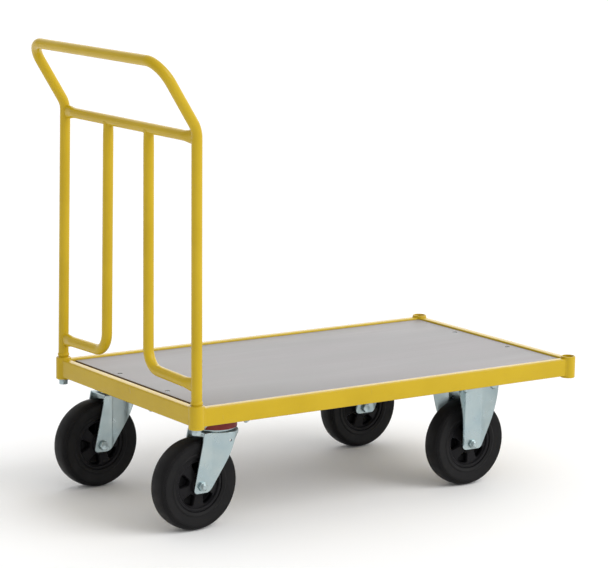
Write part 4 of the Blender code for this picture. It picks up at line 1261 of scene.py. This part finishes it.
def fork_reach(x):
    """Outer half width of a swivel fork at x: flat band, flared flange, then round crown."""
    flange = FORK_HALF_WIDTH + soft_ramp(x - CREASE_X, CREASE_BEND) * FLANGE_SLOPE
    wrap = math.sqrt(max(CROWN_RADIUS ** 2 - x * x, 0.0))
    share = clamped(0.5 + 0.5 * (wrap - flange) / CROWN_BLEND)
    smooth_minimum = between(wrap, flange, share) - CROWN_BLEND * share * (1 - share)
    return flange if x <= CREASE_X + CREASE_BEND else smooth_minimum


def foot_levels(bottom, corner, steps=8):
    """Heights near a rounded leg foot, with how far the leg's edges are drawn in at each."""
    levels = []
    for step in range(steps):
        angle = math.radians(90) * step / steps
        levels.append((bottom + corner * (1 - math.cos(angle)), corner * (1 - math.sin(angle))))
    return levels


def leg_columns(z, inset):
    """X of each column of a swivel leg at a height, from its rear to its front edge."""
    rise = (z - LEG_FOOT) / (CROWN_TOP - SHEET - LEG_FOOT)
    rear = between(*LEG_REAR, rise) + inset
    front = between(*LEG_FRONT, rise) - inset
    flare = (z - (CROWN_TOP - CROWN_SKIRT - LEG_FLARE_HEIGHT)) / LEG_FLARE_HEIGHT
    front += LEG_FLARE * clamped(flare) ** 3
    crease = min(CREASE_X, rear + 0.8 * (front - rear))
    before, after = crease - CREASE_BEND, crease + CREASE_BEND
    return spaced(rear, before, 5)[:-1] + spaced(before, after, 5)[:-1] + spaced(after, front, 14)


def outline_normals(points):
    """Outward level normals along an open outline that runs from -Y round +X to +Y."""
    normals = []
    for index in range(len(points)):
        before = points[max(index - 1, 0)]
        after = points[min(index + 1, len(points) - 1)]
        along = (after - before).normalized()
        normals.append(Vector((along.y, -along.x)))
    return normals


def fork_outline(z, inset):
    """Points round the fork at a height: right leg, front wrap, then left leg."""
    columns = leg_columns(z, inset)
    right = [Vector((x, -fork_reach(x))) for x in columns]
    start = math.atan2(right[-1].y, right[-1].x)
    size = right[-1].length
    steps = 16
    angles = [start * (1 - 2 * k / steps) for k in range(1, steps)]
    wrap = [size * Vector((math.cos(angle), math.sin(angle))) for angle in angles]
    left = [Vector((p.x, -p.y)) for p in reversed(right)]
    return right + wrap + left


def drawn_in_row(outline, normals, distance, z):
    """Outline moved inwards by a distance, at a height."""
    return [Vector((*(p - n * distance), z)) for p, n in zip(outline, normals)]


def fork_layers():
    """Rows of outer and inner points of the pressed fork, up its legs and over its crown."""
    skirt_low = CROWN_TOP - CROWN_SKIRT
    wall_top = CROWN_TOP - CROWN_BEND
    levels = foot_levels(LEG_FOOT, LEG_CORNER)
    legs_start = LEG_FOOT + LEG_CORNER
    levels += [(z, 0.0) for z in spaced(legs_start, skirt_low, 14)[:-1]]
    skirt_row = len(levels)
    levels += [(z, 0.0) for z in spaced(skirt_low, wall_top, 3)]
    outer, inner = [], []
    for z, inset in levels:
        outline = fork_outline(z, inset)
        normals = outline_normals(outline)
        outer.append(drawn_in_row(outline, normals, 0.0, z))
        inner.append(drawn_in_row(outline, normals, SHEET, z))
    inner_bend = 0.0004
    for step in range(1, 5):
        angle = math.radians(90) * step / 4
        turned_in, risen = 1 - math.cos(angle), math.sin(angle)
        outer.append(drawn_in_row(outline, normals, CROWN_BEND * turned_in,
                                  wall_top + CROWN_BEND * risen))
        inner.append(drawn_in_row(outline, normals, SHEET + inner_bend * turned_in,
                                  min(CROWN_TOP - SHEET, wall_top + inner_bend * risen)))
    return outer, inner, skirt_row


def crown_rings(rim, height):
    """Rings of the flat crown between its bent rim, closed along the rear, and its hole."""
    border = list(rim) + [rim[-1].lerp(rim[0], k / 8) for k in range(1, 8)]
    rings = [border]
    for share in (0.4, 0.75, 1.0):
        ring = []
        for point in border:
            angle = math.atan2(point.y, point.x)
            hole = Vector((CROWN_HOLE * math.cos(angle), CROWN_HOLE * math.sin(angle), height))
            ring.append(Vector((point.x, point.y, height)).lerp(hole, share))
        rings.append(ring)
    return rings


def swivel_fork_mesh(place):
    """Fork of one pressed sheet: two leaning legs, a skirt round the front and the crown."""
    outer, inner, skirt_row = fork_layers()
    columns = len(outer[0])
    leg_count = len(leg_columns(LEG_FOOT, 0.0))

    def on_sheet(row, column):
        in_front = leg_count - 1 <= column < columns - leg_count
        return row >= skirt_row or not in_front

    faces = grid_faces(columns, len(outer), on_sheet)
    top_start = (len(outer) - 1) * columns
    outer_points = [p for row in outer for p in row]
    inner_points = [p for row in inner for p in row]
    top_rings = crown_rings(outer[-1], CROWN_TOP)
    low_rings = crown_rings(inner[-1], CROWN_TOP - SHEET)
    border = len(top_rings[0])
    rear_start = len(outer_points)
    outer_points += top_rings[0][columns:]
    inner_points += low_rings[0][columns:]
    previous = [top_start + k for k in range(columns)]
    previous += [rear_start + k for k in range(border - columns)]
    for top_ring, low_ring in zip(top_rings[1:], low_rings[1:]):
        start = len(outer_points)
        outer_points += top_ring
        inner_points += low_ring
        current = [start + k for k in range(border)]
        for k in range(border):
            j = (k + 1) % border
            faces.append((previous[k], previous[j], current[j], current[k]))
        previous = current
    used = sorted(set(index for face in faces for index in face))
    renumber = {old: new for new, old in enumerate(used)}
    faces = [tuple(renumber[index] for index in face) for face in faces]
    walls = [[points[index] for index in used] for points in (outer_points, inner_points)]
    return moved(closed_shell(*walls, faces), place)


def across_rod(place, x, z, radius):
    """Rod along Y, which drills both legs of a fork."""
    reach = CROWN_RADIUS + 0.02
    profile = rod_profile(radius, -reach, reach)
    return turned(profile, 40, place @ Matrix.Translation((x, 0, z)) @ AXIS_TO_Y)


def race_mesh(place):
    """Raised race of the fork, with the groove and the bead that show under the seal."""
    top = CROWN_TOP + RACE_HEIGHT
    wall = 0.004
    corners = [(CROWN_HOLE - 0.0005, CROWN_TOP - SHEET), (CROWN_HOLE - 0.0005, top - wall),
               (KINGPIN_RADIUS + 0.0005, top - wall), (KINGPIN_RADIUS + 0.0005, top),
               (RACE_RADIUS, top), (RACE_RADIUS, CROWN_TOP + 0.0052),
               (RACE_BEAD, CROWN_TOP + 0.0050), (RACE_BEAD, CROWN_TOP + 0.0020),
               (RACE_GROOVE, CROWN_TOP + 0.0018), (RACE_GROOVE, CROWN_TOP + FIT),
               (CROWN_HOLE - 0.0002, CROWN_TOP + FIT)]
    return turned(filleted(corners, 0.0009, 4), 96, place)


def make_plate_nuts(name, place, long_x, long_y, body):
    """Washer, nut and threaded bolt end under each corner of a top plate."""
    washer_low = PLATE_BOTTOM - WASHER_THICKNESS
    nut_low = washer_low - NUT_HEIGHT
    end_low = nut_low - 0.0030
    washer = filleted(ring_profile(BOLT_RADIUS, WASHER_RADIUS, washer_low, PLATE_BOTTOM),
                      0.0003, 3)
    nut = [(BOLT_RADIUS, nut_low), (NUT_HEX * 0.9, nut_low)]
    nut += hexagon_rows(NUT_HEX, nut_low, washer_low) + [(BOLT_RADIUS, washer_low)]
    bolt = [(0, end_low), (BOLT_RADIUS - 0.0007, end_low)]
    bolt += threaded(BOLT_RADIUS - FIT, end_low + 0.0006, nut_low + 0.0010)
    bolt += [(0, nut_low + 0.0010)]
    parts = []
    for sx in (-1, 1):
        for sy in (-1, 1):
            spot = place @ Matrix.Translation((sx * long_x, sy * long_y, 0))
            turn = Matrix.Rotation(0.4 * sx + 0.9 * sy, 4, "Z")
            parts += [turned(washer, 40, spot), turned(nut, 60, spot @ turn),
                      turned(bolt, 32, spot)]
    new_piece(name, joined(*parts), "zinc_steel", body)


def make_swivel_castor(side):
    body = f"swivel_{side}"
    fixed_place = upright_at(centre_of(f"swivel_plate_{side}"))
    place = fixed_place @ Matrix.Rotation(STEER[side], 4, "Z")
    fork = stand_in(f"swivel_fork_{side}", swivel_fork_mesh(place))
    round_edges(fork)
    drill(fork, f"fork_axle_hole_{side}", across_rod(place, -TRAIL, WHEEL_RADIUS, AXLE_RADIUS))
    drill(fork, f"fork_leg_hole_{side}", across_rod(place, *LEG_HOLE, LEG_HOLE_RADIUS))
    new_piece(f"swivel_race_{side}", race_mesh(place), "zinc_steel", body)
    low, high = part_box(f"swivel_seal_{side}")
    seal = filleted(ring_profile(RACE_RADIUS + 0.0011, SEAL_RADIUS, low.z, high.z),
                    [0.0003, 0.0013, 0.0006, 0.0003], 4)
    stand_in(f"swivel_seal_{side}", turned(seal, 96, fixed_place), "seal_plastic")
    top_race = ring_profile(0.0100, RACE_RADIUS, CROWN_TOP + RACE_HEIGHT + 0.0005, PLATE_BOTTOM)
    plates = [moved(top_plate(PLATE_LONG, PLATE_SHORT), fixed_place),
              turned(filleted(top_race, 0.0005, 2), 96, fixed_place)]
    stand_in(f"swivel_plate_{side}", joined(*plates))
    make_plate_nuts(f"swivel_plate_nuts_{side}", fixed_place, PLATE_BOLT_LONG, PLATE_BOLT_SHORT,
                    PLATFORM)
    make_kingpin(side, fixed_place)
    axle = place @ Matrix.Translation((-TRAIL, 0, WHEEL_RADIUS))
    make_axle("swivel", side, axle)
    make_wheel("swivel", side, axle)


def make_kingpin(side, place):
    low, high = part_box(f"swivel_kingpin_{side}")
    head_low, head_top = low.z + 0.0012, CROWN_TOP + RACE_HEIGHT - 0.0043
    pin = [(0, low.z), (0.0045, low.z)] + threaded(0.0062, low.z + 0.0002, head_low)
    pin += hexagon_rows(KINGPIN_HEX, head_low, head_top)
    pin += [(KINGPIN_RADIUS, head_top), (KINGPIN_RADIUS, high.z), (0, high.z)]
    stand_in(f"swivel_kingpin_{side}", turned(pin, 72, place))


def fixed_flare(z):
    """How far a fixed fork's flange edges stand out past its band at a height."""
    rise = max(0.0, z - FIXED_FLARE_START) / (FIXED_FLARE_PEAK - FIXED_FLARE_START)
    return FIXED_FLARE * math.sin(0.5 * math.pi * rise) ** 1.2


def fixed_leg_mesh(sign, place):
    """Upright leg: flat middle band between flanges that flare outwards, bent at the plate."""
    top = PLATE_BOTTOM + FIT
    levels = foot_levels(FIXED_FOOT_HEIGHT, FIXED_CORNER)
    start = FIXED_FOOT_HEIGHT + FIXED_CORNER
    bend_start = top - FIXED_TOP_BEND
    levels += [(z, 0.0) for z in spaced(start, bend_start, 12)[:-1] + spaced(bend_start, top, 5)]
    bend = CREASE_BEND
    outer, inner = [], []
    for z, inset in levels:
        edge = FIXED_FOOT + FIXED_EDGE_SLOPE * (z - FIXED_FOOT_HEIGHT) - inset
        band = min(FIXED_BAND, 0.85 * edge)
        half = spaced(0.0, band - bend, 4)[:-1] + spaced(band - bend, band + bend, 4)
        half += spaced(band + bend, edge, 6)[1:]
        columns = [-x for x in reversed(half[1:])] + half
        bent = max(0.0, z - bend_start) / FIXED_TOP_BEND
        flare = FIXED_TOP_BEND * (1 - math.sqrt(max(0.0, 1 - (0.98 * bent) ** 2)))
        slope = fixed_flare(z) / max(edge - band, 0.002)
        for x in columns:
            y = FORK_HALF_WIDTH + soft_ramp(abs(x) - band, bend) * slope
            outer.append(Vector((x, sign * (y + flare), z)))
            inner.append(Vector((x, sign * (y + flare - SHEET), z)))
    faces = grid_faces(len(columns), len(levels))
    return moved(closed_shell(outer, inner, faces), place)


def make_fixed_castor(side):
    place = upright_at(centre_of(f"fixed_fork_{side}"))
    parts = [moved(top_plate(PLATE_SHORT, PLATE_LONG), place)]
    parts += [fixed_leg_mesh(sign, place) for sign in (-1, 1)]
    fork = stand_in(f"fixed_fork_{side}", joined(*parts))
    round_edges(fork)
    make_plate_nuts(f"fixed_plate_nuts_{side}", place, PLATE_BOLT_SHORT, PLATE_BOLT_LONG, PLATFORM)
    axle = place @ Matrix.Translation((0, 0, WHEEL_RADIUS))
    make_axle("fixed", side, axle)
    make_wheel("fixed", side, axle)


def finish_hidden_nodes():
    """CAD nodes inside the others keep their mesh and get the zinc finish."""
    names = [f"handle_insert_{side}" for side in SIDES]
    names += [f"{kind}_bush_{side}" for kind in ("swivel", "fixed") for side in SIDES]
    for name in names:
        node = frame["nodes"][name]
        for slot in node.material_slots:
            slot.material = MATERIALS["zinc_steel"]


# ---------------------------------------------------------------- studio

def make_floor():
    """Pale floor, wide enough to fill the picture behind the trolley."""
    mesh_bm = bmesh.new()
    bmesh.ops.create_grid(mesh_bm, x_segments=8, y_segments=8, size=90)
    mesh = baked_mesh("studio_floor", mesh_bm)
    mat, shader = start_material("pale_floor", specular=0.2)
    colour = mixed(mat, clouds(mat, 1.5, 3), (0.96, 0.96, 0.96), (0.97, 0.97, 0.97))
    roughness = clouds(mat, 3.0, 3, 0.80, 0.90)
    finish_material(mat, shader, colour, roughness, bumped(mat, noise(mat, 40, 2), 0.0001, 0.2))
    mesh.materials.append(mat)
    in_scene("studio_floor", mesh)


def make_lights():
    """Soft sun from the right, a sky that is brighter on the right, and a glow at the back."""
    world = bpy.data.worlds.new("studio")
    world.use_nodes = True
    background = world.node_tree.nodes["Background"]
    background.inputs["Color"].default_value = (1.0, 1.0, 1.0, 1.0)
    towards = separated(world, "Generated")
    from_side = calculated(world, "MULTIPLY", towards["Y"], -0.34)
    slant = calculated(world, "ADD", towards["X"], from_side)
    around = spread(world, slant, 0.50, 1.20, -1.0, 1.0)
    behind_x = calculated(world, "MULTIPLY", towards["X"], 0.57)
    behind_y = calculated(world, "MULTIPLY", towards["Y"], 0.82)
    behind = calculated(world, "ADD", behind_x, behind_y)
    glow = spread(world, behind, 0.0, 0.75, 0.55, 0.95)
    feed(world, background.inputs["Strength"], calculated(world, "ADD", around, glow))
    bpy.context.scene.world = world
    sun = bpy.data.lights.new("key_light", "SUN")
    sun.energy = 1.15
    sun.angle = math.radians(42)
    lamp = in_scene("key_light", sun)
    lamp.rotation_mode = "QUATERNION"
    lamp.rotation_quaternion = Vector((-0.48, 0.62, -0.62)).to_track_quat("-Z", "Y")
    bpy.context.scene.view_settings.view_transform = "Standard"


def make_camera():
    """Camera at the height of a person's chest, looking down a little at the trolley."""
    yaw, pitch, roll = (math.radians(angle) for angle in CAMERA_TURN)
    ahead = Vector((math.sin(yaw) * math.cos(pitch), math.cos(yaw) * math.cos(pitch),
                    -math.sin(pitch)))
    level = Vector((math.cos(yaw), -math.sin(yaw), 0))
    above = level.cross(ahead)
    right = math.cos(roll) * level + math.sin(roll) * above
    up = -math.sin(roll) * level + math.cos(roll) * above
    data = bpy.data.cameras.new("camera")
    data.sensor_width = 36.0
    data.lens = CAMERA_LENS
    data.clip_end = 400.0
    camera = in_scene("camera", data)
    matrix = Matrix((right, up, -ahead)).transposed().to_4x4()
    matrix.translation = Vector(CAMERA_PLACE)
    camera.matrix_world = matrix
    bpy.context.scene.camera = camera


make_camera()
make_lights()
make_floor()
make_sockets()
make_rails()
make_cross_tubes()
make_board()
make_screws()
make_handle_loop()
make_crossbar()
for side_name, side_sign in SIDES.items():
    make_brace(side_name, side_sign)
make_handle_fixings()
for side_name in SIDES:
    make_swivel_castor(side_name)
    make_fixed_castor(side_name)
finish_hidden_nodes()
